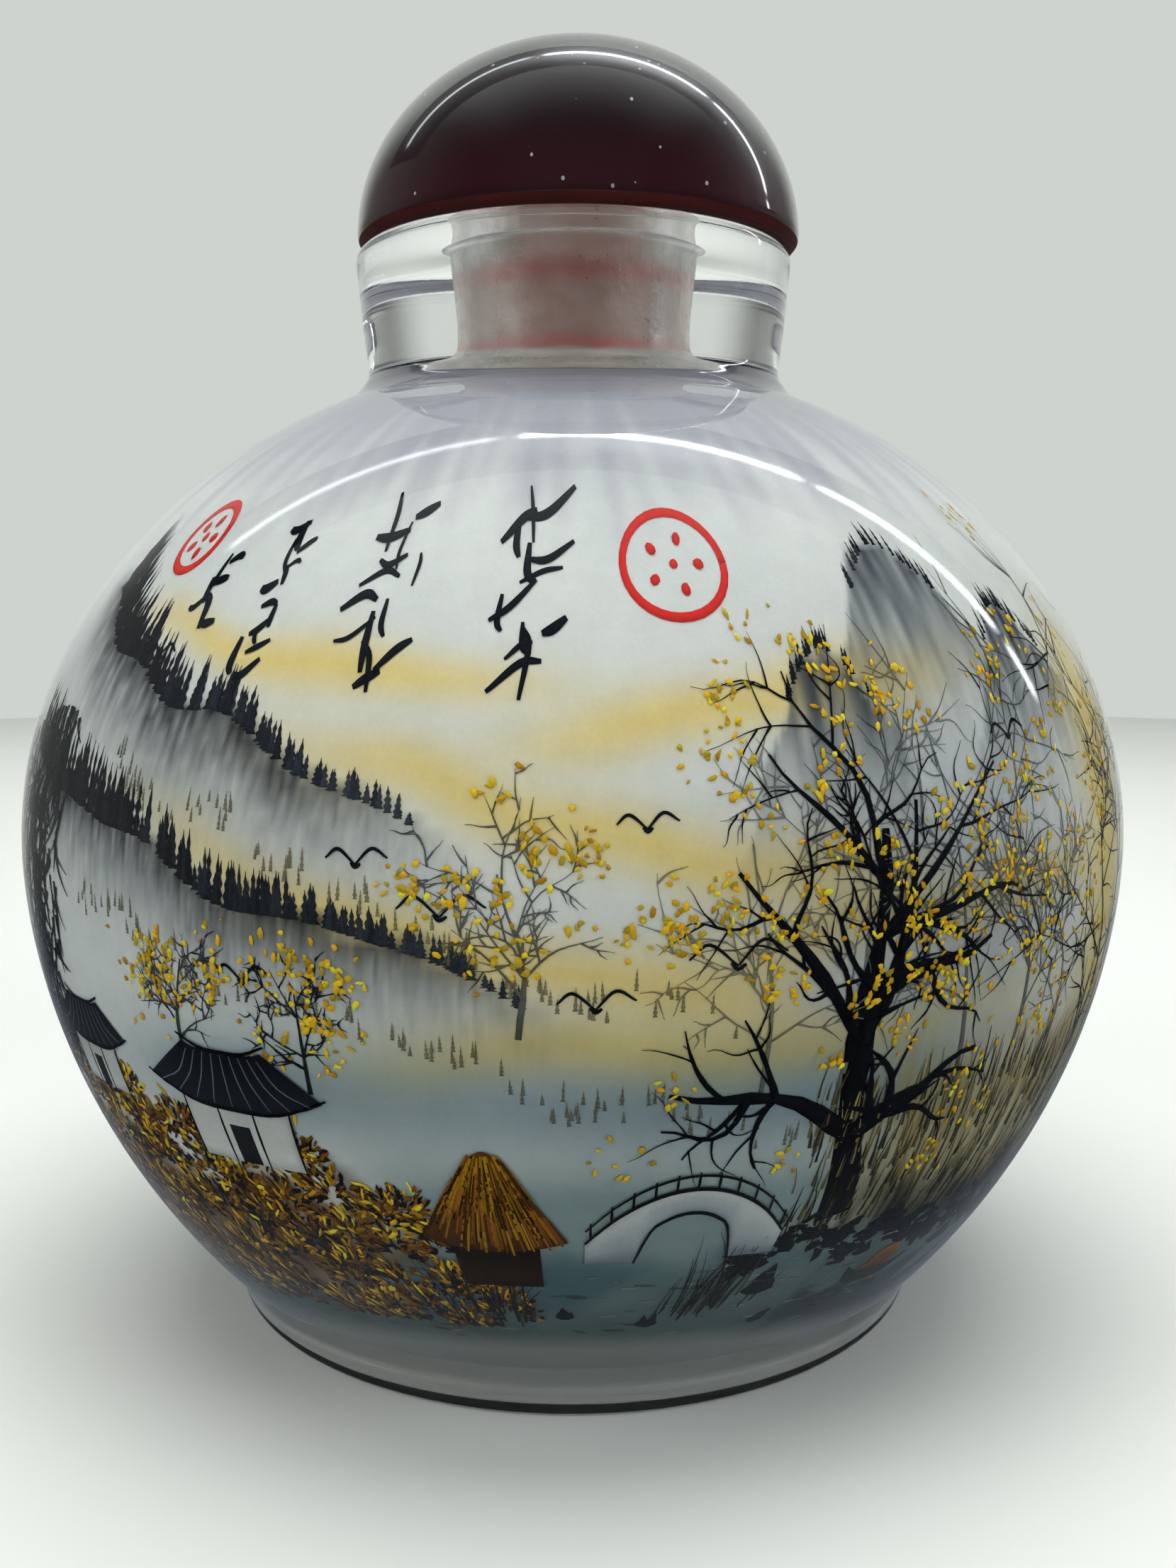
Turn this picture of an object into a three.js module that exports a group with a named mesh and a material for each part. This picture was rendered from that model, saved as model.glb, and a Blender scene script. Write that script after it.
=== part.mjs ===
// A round glass snuff bottle for inside painting, with its domed stopper.
// Millimetres, +Z up. The origin is the centre of the foot ring, on the surface that the bottle stands on.
//
// Three solids: the blown and ground bottle, the dome that closes it, and the plug under the dome
// that fits into the bore of the neck. The dome and plug make one loose stopper, a hair off centre.
import * as THREE from "three";

// Foot: a low ring with a flat standing face and a shallow hollow inside it.
const FOOT_RADIUS = 22.0;
const FOOT_TOP_RADIUS = 22.9;
const FOOT_TOP_Z = 3.3;
const FOOT_EDGE_ROUND = 0.4;
const FOOT_RING_WIDTH = 4.2;
const FOOT_HOLLOW_DEPTH = 1.3;

// Body: a bulb of revolution, widest a little below the middle and fuller below than above.
const BODY_RADIUS = 34.0;
const WIDEST_Z = 29.0;
const UPPER_HEIGHT = 29.2;
const UPPER_POWER = 2.0;
const LOWER_HEIGHT = 37.6;
const LOWER_POWER = 1.85;
const FOOT_GROOVE_RADIUS = 23.9;

// Neck: a thick collar that flares slightly towards a rounded lip, around a narrow bore.
const NECK_BASE_RADIUS = 12.85;
const NECK_BASE_Z = 57.6;
const NECK_RADIUS = 13.5;
const LIP_Z = 64.8;
const LIP_ROUND = 0.9;
const SHOULDER_RADIUS = 13.9;
const BORE_RADIUS = 5.1;
const BORE_WAIST = 0.25;
const BORE_MOUTH_ROUND = 0.35;

// Cavity: the ground and painted inside.
const WALL = 3.0;
const CAVITY_UPPER_HEIGHT = 26.0;
const CAVITY_LOWER_HEIGHT = 24.2;
const CAVITY_LOWER_POWER = 2.35;
const BORE_FLARE = 1.6;

// Stopper: a domed cap whose underside rests on the lip, and a tapered plug in the bore.
const CAP_RADIUS = 13.7;
const CAP_DOME_HEIGHT = 11.8;
const CAP_CHAMFER_WIDTH = 0.5;
const CAP_CHAMFER_HEIGHT = 0.55;
const PLUG_TOP_RADIUS = 4.15;
const PLUG_TIP_RADIUS = 3.7;
const PLUG_LENGTH = 6.9;
const PLUG_EDGE_ROUND = 0.5;
const STOPPER_SHIFT = 0.3;

const BOTTLE_SIDES = 60;
const CAP_SIDES = 48;
const PLUG_SIDES = 24;

const clearGlass = new THREE.MeshStandardMaterial({ color: 0xe6ece8, roughness: 0.05, metalness: 0 });
const darkRedGlass = new THREE.MeshStandardMaterial({ color: 0x2a070c, roughness: 0.08, metalness: 0 });
const redPlastic = new THREE.MeshStandardMaterial({ color: 0xb23a2a, roughness: 0.5, metalness: 0 });

// Points of a bulb's quarter outline, from the widest ring towards the axis: radius and height above or
// below the widest ring follow a superellipse, (r / radius)^power + (h / height)^power = 1.
function quarterBulb(radius, height, power, endRadius, steps) {
  const endAngle = Math.acos(Math.pow(endRadius / radius, power / 2));
  return Array.from({ length: steps + 1 }, (_, i) => {
    const angle = (endAngle * i) / steps;
    return {
      r: radius * Math.pow(Math.cos(angle), 2 / power),
      h: height * Math.pow(Math.sin(angle), 2 / power),
    };
  });
}

// A quarter or part circle in the profile plane.
function arc(centreR, centreZ, radius, fromDeg, toDeg, steps) {
  return Array.from({ length: steps + 1 }, (_, i) => {
    const angle = THREE.MathUtils.degToRad(fromDeg + ((toDeg - fromDeg) * i) / steps);
    return new THREE.Vector2(centreR + radius * Math.cos(angle), centreZ + radius * Math.sin(angle));
  });
}

// Turns a closed profile, listed from the axis at the bottom round to the axis at the top, about +Z.
function turned(profile, sides) {
  const geometry = new THREE.LatheGeometry(profile, sides);
  return geometry.rotateX(Math.PI / 2);
}

function named(name, geometry, material) {
  const mesh = new THREE.Mesh(geometry, material);
  mesh.name = name;
  return mesh;
}

// Underside and side of the foot, from the axis out to the groove under the body.
function footProfile() {
  const ringInner = FOOT_RADIUS - FOOT_RING_WIDTH;
  return [
    new THREE.Vector2(0, FOOT_HOLLOW_DEPTH),
    new THREE.Vector2(ringInner - FOOT_HOLLOW_DEPTH, FOOT_HOLLOW_DEPTH * 0.8),
    new THREE.Vector2(ringInner, 0),
    ...arc(FOOT_RADIUS - FOOT_EDGE_ROUND, FOOT_EDGE_ROUND, FOOT_EDGE_ROUND, -90, 0, 3),
    new THREE.Vector2(FOOT_TOP_RADIUS, FOOT_TOP_Z),
  ];
}

function bodyProfile() {
  const lower = quarterBulb(BODY_RADIUS, LOWER_HEIGHT, LOWER_POWER, FOOT_GROOVE_RADIUS, 10)
    .reverse()
    .map(({ r, h }) => new THREE.Vector2(r, WIDEST_Z - h));
  const upper = quarterBulb(BODY_RADIUS, UPPER_HEIGHT, UPPER_POWER, SHOULDER_RADIUS, 12)
    .slice(1)
    .map(({ r, h }) => new THREE.Vector2(r, WIDEST_Z + h));
  return [...lower, ...upper];
}

// The collar's outside, its rounded lip, and the slightly waisted bore down to the cavity.
function neckProfile() {
  const boreBottomZ = WIDEST_Z + CAVITY_UPPER_HEIGHT - 0.2;
  return [
    new THREE.Vector2(NECK_BASE_RADIUS, NECK_BASE_Z),
    new THREE.Vector2((NECK_BASE_RADIUS + NECK_RADIUS) / 2 + 0.1, (NECK_BASE_Z + LIP_Z) / 2 - 0.4),
    ...arc(NECK_RADIUS - LIP_ROUND, LIP_Z - LIP_ROUND, LIP_ROUND, 0, 90, 4),
    new THREE.Vector2(BORE_RADIUS + BORE_MOUTH_ROUND, LIP_Z),
    new THREE.Vector2(BORE_RADIUS, LIP_Z - BORE_MOUTH_ROUND),
    new THREE.Vector2(BORE_RADIUS - BORE_WAIST, (LIP_Z + boreBottomZ) / 2),
    new THREE.Vector2(BORE_RADIUS, boreBottomZ + BORE_FLARE),
    new THREE.Vector2(BORE_RADIUS + BORE_FLARE / 2, boreBottomZ + BORE_FLARE / 4),
  ];
}

// The inside, from under the bore down to the axis at its floor.
function cavityProfile() {
  const radius = BODY_RADIUS - WALL;
  const upper = quarterBulb(radius, CAVITY_UPPER_HEIGHT, 2, BORE_RADIUS + BORE_FLARE, 9)
    .reverse()
    .map(({ r, h }) => new THREE.Vector2(r, WIDEST_Z + h));
  const lower = quarterBulb(radius, CAVITY_LOWER_HEIGHT, CAVITY_LOWER_POWER, 3, 9)
    .slice(1)
    .map(({ r, h }) => new THREE.Vector2(r, WIDEST_Z - h));
  return [...upper, ...lower, new THREE.Vector2(0, WIDEST_Z - CAVITY_LOWER_HEIGHT)];
}

function bottle() {
  const profile = [...footProfile(), ...bodyProfile(), ...neckProfile(), ...cavityProfile()];
  return named("bottle", turned(profile, BOTTLE_SIDES), clearGlass);
}

// The dome is half an ellipsoid over a narrow chamfered rim. Its own origin is the middle of its underside.
function stopperCap() {
  const dome = quarterBulb(CAP_RADIUS, CAP_DOME_HEIGHT, 2, 0, 12);
  const profile = [
    new THREE.Vector2(0, 0),
    new THREE.Vector2(CAP_RADIUS - CAP_CHAMFER_WIDTH, 0),
    ...dome.map(({ r, h }) => new THREE.Vector2(r, CAP_CHAMFER_HEIGHT + h)),
  ];
  profile.at(-1).x = 0;
  return named("stopper_cap", turned(profile, CAP_SIDES), darkRedGlass);
}

// The plug hangs below the cap's underside and tapers to a rounded tip.
function stopperPlug() {
  const round = PLUG_EDGE_ROUND;
  const profile = [
    new THREE.Vector2(0, -PLUG_LENGTH),
    ...arc(PLUG_TIP_RADIUS - round, round - PLUG_LENGTH, round, -90, 0, 3),
    new THREE.Vector2(PLUG_TOP_RADIUS, 0),
    new THREE.Vector2(0, 0),
  ];
  return named("stopper_plug", turned(profile, PLUG_SIDES), redPlastic);
}

// The cap's underside rests on the lip, and the plug hangs free in the bore.
function stopper() {
  const group = new THREE.Group();
  group.add(stopperCap(), stopperPlug());
  group.position.set(STOPPER_SHIFT, 0, LIP_Z);
  return group;
}

const snuffBottle = new THREE.Group();
snuffBottle.add(bottle(), stopper());

export default snuffBottle;
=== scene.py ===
"""A round glass snuff bottle with an inside painting, a dark red domed stopper and its red plug.

Every size is in millimetres in the functions and turned into metres where a mesh is made.
The picture is laid out on its own flat plan: X runs round the inner wall, measured in mm at the
widest ring with 0 at the front and plus to the right, and Z is the height above the standing face.
"""

import math

import bpy
import numpy as np
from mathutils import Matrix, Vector


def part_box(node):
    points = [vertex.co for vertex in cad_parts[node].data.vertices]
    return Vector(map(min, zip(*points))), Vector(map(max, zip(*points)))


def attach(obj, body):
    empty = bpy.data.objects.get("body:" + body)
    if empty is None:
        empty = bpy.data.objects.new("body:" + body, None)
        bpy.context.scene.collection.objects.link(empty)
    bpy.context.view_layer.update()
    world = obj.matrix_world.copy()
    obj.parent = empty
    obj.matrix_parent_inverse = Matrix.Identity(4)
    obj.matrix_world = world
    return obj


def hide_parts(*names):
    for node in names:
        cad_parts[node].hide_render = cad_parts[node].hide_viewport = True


bl_info = {
    "name": "Snuff Bottle",
    "version": (1, 0, 0),
    "blender": (4, 5, 0),
    "location": "3D View > Sidebar > Snuff Bottle",
    "description": "A round glass snuff bottle with an inside painting and a domed stopper",
    "category": "Object",
}

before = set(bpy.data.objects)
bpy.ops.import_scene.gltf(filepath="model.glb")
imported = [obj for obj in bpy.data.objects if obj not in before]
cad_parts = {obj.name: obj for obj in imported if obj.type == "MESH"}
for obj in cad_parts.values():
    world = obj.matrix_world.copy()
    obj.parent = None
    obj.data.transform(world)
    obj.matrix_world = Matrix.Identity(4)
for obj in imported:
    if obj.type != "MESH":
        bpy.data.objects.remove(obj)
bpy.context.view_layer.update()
MM = 0.001
BODY = "root"
BOTTLE_LO, BOTTLE_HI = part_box("bottle")
CAP_LO, CAP_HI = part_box("stopper_cap")
PLUG_LO, PLUG_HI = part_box("stopper_plug")


# ---------------------------------------------------------------- sizes and colours


def length(name, about, default):
    return bpy.props.FloatProperty(
        name=name, description=about, default=default, min=0, precision=5, subtype="DISTANCE",
        unit="LENGTH"
    )


def colour(name, about, default):
    return bpy.props.FloatVectorProperty(
        name=name, description=about, default=default, size=3, min=0, max=1, subtype="COLOR_GAMMA"
    )


class BottleSizes(bpy.types.PropertyGroup):
    body_radius: length("Body radius", "Radius of the widest ring", (BOTTLE_HI.x - BOTTLE_LO.x) / 2)
    widest_z: length("Widest height", "Height of the widest ring", 0.029)
    upper_height: length("Upper height", "Height of the upper quarter outline", 0.0292)
    lower_height: length("Lower height", "Height of the lower quarter outline", 0.0376)
    neck_radius: length("Neck radius", "Radius of the collar under the lip", 0.0135)
    lip_z: length("Lip height", "Height of the lip", BOTTLE_HI.z)
    bore_radius: length("Bore radius", "Radius of the bore in the neck", 0.0051)


class StopperSizes(bpy.types.PropertyGroup):
    cap_radius: length("Cap radius", "Radius of the dome", (CAP_HI.x - CAP_LO.x) / 2)
    cap_height: length("Cap height", "Height of the dome with its rim", CAP_HI.z - CAP_LO.z)
    plug_radius: length("Plug radius", "Radius of the plug at its top", (PLUG_HI.x - PLUG_LO.x) / 2)
    plug_tip: length("Plug tip radius", "Radius of the plug near its tip", 0.0037)


class PaintColours(bpy.types.PropertyGroup):
    sky: colour("Sky", "Pale grey of the open sky", (0.86, 0.88, 0.87))
    ochre: colour("Ochre", "Warm yellow of the clouds and the light", (0.90, 0.80, 0.47))
    haze: colour("Haze", "Blue grey of the mist", (0.50, 0.54, 0.58))
    ink: colour("Ink", "Blue black of hills and branches", (0.07, 0.08, 0.10))
    teal: colour("Teal", "Blue green of the far water", (0.29, 0.40, 0.46))
    water: colour("Water", "Grey green of the near water", (0.40, 0.49, 0.50))
    grass: colour("Grass", "Dry olive of the meadow", (0.55, 0.50, 0.32))
    leaf: colour("Leaf", "Bright yellow of single leaves", (0.93, 0.79, 0.20))
    gold: colour("Gold", "Golden yellow of the autumn leaves", (0.88, 0.66, 0.13))
    brown: colour("Brown", "Warm brown of thatch and bushes", (0.42, 0.26, 0.09))
    seal: colour("Seal red", "Red of the two seals", (0.86, 0.20, 0.18))


class StageSettings(bpy.types.PropertyGroup):
    camera_distance: length("Camera distance", "From the axis to the camera", 0.0966)
    camera_height: length("Camera height", "Above the standing face", 0.0437)
    camera_side: length("Camera side", "To the right of the axis", 0.0009)
    camera_pitch: bpy.props.FloatProperty(
        name="Camera pitch", description="How far the camera looks down", default=math.radians(7.24),
        subtype="ANGLE", unit="ROTATION"
    )
    floor_colour: colour("Floor", "Colour of the plain floor", (0.74, 0.75, 0.74))


# ---------------------------------------------------------------- outlines


def bulb(radius, height, power, end_radius, steps):
    """A bulb's quarter outline from its widest ring: (r / radius)^power + (h / height)^power = 1."""
    end = math.acos((end_radius / radius) ** (power / 2))
    t = np.linspace(0, end, steps + 1)
    return radius * np.cos(t) ** (2 / power), height * np.sin(t) ** (2 / power)


def arc(centre_r, centre_z, radius, start, stop, steps):
    """Part of a circle in the outline's plane, from one angle in degrees to another."""
    t = np.radians(np.linspace(start, stop, steps + 1))
    return np.stack([centre_r + radius * np.cos(t), centre_z + radius * np.sin(t)], 1)


def smooth_line(points, steps):
    """A soft curve through a few outline points: each span is a Catmull-Rom cubic."""
    p = np.asarray(points, float)
    p = np.vstack([2 * p[0] - p[1], p, 2 * p[-1] - p[-2]])
    t = np.linspace(0, 1, steps, endpoint=False)[:, None]
    spans = [
        0.5 * (2 * b + (c - a) * t + (2 * a - 5 * b + 4 * c - d) * t**2 + (3 * b - a - 3 * c + d) * t**3)
        for a, b, c, d in zip(p, p[1:], p[2:], p[3:])
    ]
    return np.vstack([*spans, p[-2:-1]])


CAVITY_UPPER = 26.0
CAVITY_LOWER = 24.2
CAVITY_POWER = 2.35
BORE_FLARE = 1.6
WIDEST = 29.0
CAVITY_RADIUS = 31.0
UNDERSIDE_ROWS = 17  # outline rows of the foot's underside, up to the edge it stands on
LIP_PART = 4  # which part of the outline ends at the lip's inner edge
AIR_GAP = 0.03  # between the lip and the dome
CHAMFER_HEIGHT = 0.55


def wall_radius(z):
    """Radius of the inner wall at a height: an ellipse above the widest ring, a superellipse below it."""
    h = np.asarray(z, float) - WIDEST
    up = np.sqrt(np.clip(1 - (np.clip(h, 0, None) / CAVITY_UPPER) ** 2, 0, 1))
    low = np.clip(1 - (np.clip(-h, 0, None) / CAVITY_LOWER) ** CAVITY_POWER, 0, 1) ** (1 / CAVITY_POWER)
    return CAVITY_RADIUS * np.where(h >= 0, up, low)


def cavity_line(steps):
    """Radius and height down the inner wall, from under the bore to the axis at the floor."""
    r, h = bulb(CAVITY_RADIUS, CAVITY_UPPER, 2, 5.1 + BORE_FLARE, steps)
    upper = np.stack([r, WIDEST + h], 1)[::-1]
    r, h = bulb(CAVITY_RADIUS, CAVITY_LOWER, CAVITY_POWER, 0.001, steps)
    lower = np.stack([r, WIDEST - h], 1)[1:]
    lower[-1] = (0, WIDEST - CAVITY_LOWER)
    return np.vstack([upper, lower])


# ---------------------------------------------------------------- meshes


def new_piece(name, verts_mm, faces, materials, node=None, smooth=True, sharp=None):
    """Puts a mesh, given in millimetres, into the scene as a piece that rides on the bottle."""
    mesh = bpy.data.meshes.new(name)
    mesh.from_pydata((np.asarray(verts_mm, float) * MM).tolist(), [], faces)
    for m in materials:
        mesh.materials.append(m)
    mesh.polygons.foreach_set("use_smooth", np.full(len(mesh.polygons), smooth))
    if sharp:
        mesh.set_sharp_from_angle(angle=math.radians(sharp))
    mesh.update()
    piece = bpy.data.objects.new(name, mesh)
    bpy.context.scene.collection.objects.link(piece)
    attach(piece, BODY)
    if node:
        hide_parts(node)
    return piece


def turned(profile, angles, centre=(0.0, 0.0)):
    """Turns an outline of (radius, height) about a standing axis. Each row of the grid is the outline's
    point carried to every angle, x = r sin a and y = -r cos a, and a point on the axis is one vertex."""
    profile = np.asarray(profile, float)
    n = len(angles)
    on_axis = profile[:, 0] < 1e-6
    verts, start = [], []
    count = 0
    for (r, z), pole in zip(profile, on_axis):
        start.append(count)
        if pole:
            verts.append(np.array([[centre[0], centre[1], z]]))
            count += 1
        else:
            verts.append(
                np.stack([centre[0] + r * np.sin(angles), centre[1] - r * np.cos(angles), np.full(n, z)], 1)
            )
            count += n
    j, k = np.arange(n), (np.arange(n) + 1) % n
    faces, rows = [], []
    for i in range(len(profile) - 1):
        a, b = start[i], start[i + 1]
        if on_axis[i] and on_axis[i + 1]:
            continue
        if on_axis[i]:
            band = np.stack([np.full(n, a), b + k, b + j], 1)
        elif on_axis[i + 1]:
            band = np.stack([a + j, a + k, np.full(n, b)], 1)
        else:
            band = np.stack([a + j, a + k, b + k, b + j], 1)
        faces += band.tolist()
        rows += [i] * n
    return np.vstack(verts), faces, np.array(rows)


def full_turn(sides):
    return np.linspace(0, 2 * math.pi, sides, endpoint=False)


# ---------------------------------------------------------------- finishes


def finish(name):
    """An empty material with its Principled shader: returns the material, its nodes, links and shader."""
    mat = bpy.data.materials.new(name)
    mat.use_nodes = True
    nodes, links = mat.node_tree.nodes, mat.node_tree.links
    return mat, nodes, links, nodes["Principled BSDF"]


def maths(nodes, links, operation, *values, clamp=False):
    """A Math node on numbers or sockets. Gives its output."""
    node = nodes.new("ShaderNodeMath")
    node.operation = operation
    node.use_clamp = clamp
    for end, value in zip(node.inputs, values):
        if isinstance(value, bpy.types.NodeSocket):
            links.new(value, end)
        else:
            end.default_value = value
    return node.outputs[0]


def effect_group(name, sliders):
    """An empty shared effect: numbers and a vector go in, and a mask comes out."""
    g = bpy.data.node_groups.new(name, "ShaderNodeTree")
    for label, value in sliders.items():
        g.interface.new_socket(label, in_out="INPUT", socket_type="NodeSocketFloat").default_value = value
    g.interface.new_socket("Vector", in_out="INPUT", socket_type="NodeSocketVector")
    g.interface.new_socket("Mask", in_out="OUTPUT", socket_type="NodeSocketFloat")
    return g, g.nodes.new("NodeGroupInput").outputs, g.nodes.new("NodeGroupOutput").inputs


def use_effect(nodes, links, group, **sliders):
    """Puts a shared effect into a material, on Object coordinates. Gives its mask."""
    node = nodes.new("ShaderNodeGroup")
    node.node_tree = group
    for label, value in sliders.items():
        node.inputs[label].default_value = value
    links.new(nodes.new("ShaderNodeTexCoord").outputs["Object"], node.inputs["Vector"])
    return node.outputs["Mask"]


def speck_group():
    """Shared effect: fine cloudy grain from two sizes of noise. Puts out a mask from 0 to 1."""
    name = "Fine grain"
    if name in bpy.data.node_groups:
        return bpy.data.node_groups[name]
    g, given, out = effect_group(name, {"Coarse": 300.0, "Fine": 2600.0, "Contrast": 1.0})
    noise = {}
    for label in ("Coarse", "Fine"):
        texture = g.nodes.new("ShaderNodeTexNoise")
        texture.inputs["Detail"].default_value = 3
        g.links.new(given["Vector"], texture.inputs["Vector"])
        g.links.new(given[label], texture.inputs["Scale"])
        noise[label] = texture.outputs["Fac"]
    coarse = maths(g.nodes, g.links, "MULTIPLY", noise["Coarse"], 0.55)
    total = maths(g.nodes, g.links, "MULTIPLY_ADD", noise["Fine"], 0.45, coarse)
    away = maths(g.nodes, g.links, "SUBTRACT", total, 0.5)
    g.links.new(
        maths(g.nodes, g.links, "MULTIPLY_ADD", away, given["Contrast"], 0.5, clamp=True), out["Mask"]
    )
    return g


def grain(nodes, links, coarse, fine, contrast):
    return use_effect(nodes, links, speck_group(), Coarse=coarse, Fine=fine, Contrast=contrast)


def spread(nodes, links, mask, low, high):
    """Carries a mask from 0..1 to low..high."""
    m = nodes.new("ShaderNodeMapRange")
    links.new(mask, m.inputs["Value"])
    m.inputs["To Min"].default_value = low
    m.inputs["To Max"].default_value = high
    return m.outputs["Result"]


def bump(nodes, links, height, shader, distance, strength=1.0):
    b = nodes.new("ShaderNodeBump")
    b.inputs["Distance"].default_value = distance
    b.inputs["Strength"].default_value = strength
    links.new(height, b.inputs["Height"])
    links.new(b.outputs["Normal"], shader.inputs["Normal"])


def dust_group():
    """Shared effect: sparse short specks, the hearts of some cells of a slightly stretched cell pattern."""
    name = "Sparse specks"
    if name in bpy.data.node_groups:
        return bpy.data.node_groups[name]
    g, given, out = effect_group(name, {"Scale": 900.0, "Size": 0.1, "Spare": 0.6})
    turn = g.nodes.new("ShaderNodeMapping")
    turn.inputs["Rotation"].default_value = (0.4, 0.9, 0.7)
    turn.inputs["Scale"].default_value = (1.0, 0.45, 0.8)
    g.links.new(given["Vector"], turn.inputs["Vector"])
    cells = g.nodes.new("ShaderNodeTexVoronoi")
    g.links.new(turn.outputs[0], cells.inputs["Vector"])
    g.links.new(given["Scale"], cells.inputs["Scale"])
    heart = maths(g.nodes, g.links, "LESS_THAN", cells.outputs["Distance"], given["Size"])
    chance = g.nodes.new("ShaderNodeSeparateColor")
    g.links.new(cells.outputs["Color"], chance.inputs[0])
    some = maths(g.nodes, g.links, "GREATER_THAN", chance.outputs["Red"], given["Spare"])
    g.links.new(maths(g.nodes, g.links, "MULTIPLY", heart, some), out["Mask"])
    return g


def blend_colours(nodes, links, mask, low, high):
    """Mixes two colours by a mask. Each end is a colour or a socket."""
    mix = nodes.new("ShaderNodeMix")
    mix.data_type = "RGBA"
    for end, value in (("A", low), ("B", high)):
        if isinstance(value, bpy.types.NodeSocket):
            links.new(value, mix.inputs[end])
        else:
            mix.inputs[end].default_value = (*value, 1)
    links.new(mask, mix.inputs["Factor"])
    return mix.outputs["Result"]


def smooth_range(nodes, links, value, low, high, start=0.0, stop=1.0):
    """Carries a value from low..high to start..stop with soft ends."""
    m = nodes.new("ShaderNodeMapRange")
    m.interpolation_type = "SMOOTHSTEP"
    links.new(value, m.inputs["Value"])
    for label, number in (("From Min", low), ("From Max", high), ("To Min", start), ("To Max", stop)):
        m.inputs[label].default_value = number
    return m.outputs["Result"]


def height_mask(nodes, links, low, high):
    """0 below one height and 1 above another, in metres up the bottle."""
    split = nodes.new("ShaderNodeSeparateXYZ")
    links.new(nodes.new("ShaderNodeTexCoord").outputs["Object"], split.inputs[0])
    return smooth_range(nodes, links, split.outputs["Z"], low, high)


def band_mask(nodes, links, low, high, strength):
    """A ragged ring between two heights: 0 outside, the strength inside."""
    soft = 0.0007
    below = height_mask(nodes, links, low - soft, low + soft)
    above = height_mask(nodes, links, high - soft, high + soft)
    ring = maths(nodes, links, "SUBTRACT", below, above)
    ragged = spread(nodes, links, grain(nodes, links, 260, 1100, 3.0), 0.45 * strength, strength)
    return maths(nodes, links, "MULTIPLY", ring, ragged)


def clear_glass():
    """Polished glass, with hair-fine wear in its roughness."""
    mat, nodes, links, shader = finish("Clear glass")
    shader.inputs["Base Color"].default_value = (0.985, 0.995, 0.99, 1)
    shader.inputs["Transmission Weight"].default_value = 1.0
    shader.inputs["IOR"].default_value = 1.5
    shader.inputs["Metallic"].default_value = 0.0
    shader.inputs["Roughness"].default_value = 0.0
    mask = grain(nodes, links, 500, 4000, 2.2)
    bump(nodes, links, mask, shader, 0.0000006)
    return mat


def ground_glass():
    """The bore's matt wall, ground with a wet abrasive, half opaque and mottled beige. The look of the red
    plug is painted on where it would show through the frost, which is painted light and not a stain.
    """
    mat, nodes, links, shader = finish("Ground glass")
    stain = grain(nodes, links, 180, 900, 3.0)
    shade = blend_colours(nodes, links, stain, (0.50, 0.45, 0.38), (0.80, 0.77, 0.70))
    # painted light: a dark red band over the plug's length, standing in for the plug seen through the
    # frosted wall
    shade = blend_colours(
        nodes, links, band_mask(nodes, links, PLUG_LO.z - 0.0002, PLUG_HI.z - 0.0014, 0.6), shade,
        (0.44, 0.17, 0.10)
    )
    # painted light: bright red bands at the plug's two ends, standing in for its red ends seen through the
    # frost
    for z in (PLUG_LO.z + 0.0006, PLUG_HI.z - 0.0021):
        shade = blend_colours(
            nodes, links, band_mask(nodes, links, z - 0.0004, z + 0.0004, 0.85), shade,
            (0.66, 0.08, 0.07)
        )
    links.new(shade, shader.inputs["Base Color"])
    shader.inputs["Transmission Weight"].default_value = 0.6
    shader.inputs["IOR"].default_value = 1.5
    shader.inputs["Metallic"].default_value = 0.0
    mask = grain(nodes, links, 420, 2400, 2.5)
    links.new(spread(nodes, links, mask, 0.22, 0.62), shader.inputs["Roughness"])
    bump(nodes, links, mask, shader, 0.00003)
    return mat


def milky_glass():
    """The foot's underside, ground nearly white where it stands."""
    mat, nodes, links, shader = finish("Milky ground foot")
    shader.inputs["Base Color"].default_value = (0.90, 0.92, 0.91, 1)
    shader.inputs["Transmission Weight"].default_value = 0.3
    shader.inputs["IOR"].default_value = 1.5
    shader.inputs["Metallic"].default_value = 0.0
    mask = grain(nodes, links, 300, 2600, 2.0)
    links.new(spread(nodes, links, mask, 0.45, 0.75), shader.inputs["Roughness"])
    return mat


def paint(name, grain_strength):
    """Watercolour on ground glass: the piece's own colours, settled unevenly into the fine grain."""
    mat, nodes, links, shader = finish(name)
    own = nodes.new("ShaderNodeAttribute")
    own.attribute_name = "paint"
    mask = grain(nodes, links, 700, 5200, 2.0)
    value = nodes.new("ShaderNodeHueSaturation")
    links.new(own.outputs["Color"], value.inputs["Color"])
    links.new(spread(nodes, links, mask, 1 - grain_strength, 1 + grain_strength), value.inputs["Value"])
    links.new(value.outputs["Color"], shader.inputs["Base Color"])
    links.new(spread(nodes, links, mask, 0.65, 0.95), shader.inputs["Roughness"])
    shader.inputs["Specular IOR Level"].default_value = 0.0
    return mat


# ---------------------------------------------------------------- the bottle


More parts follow.
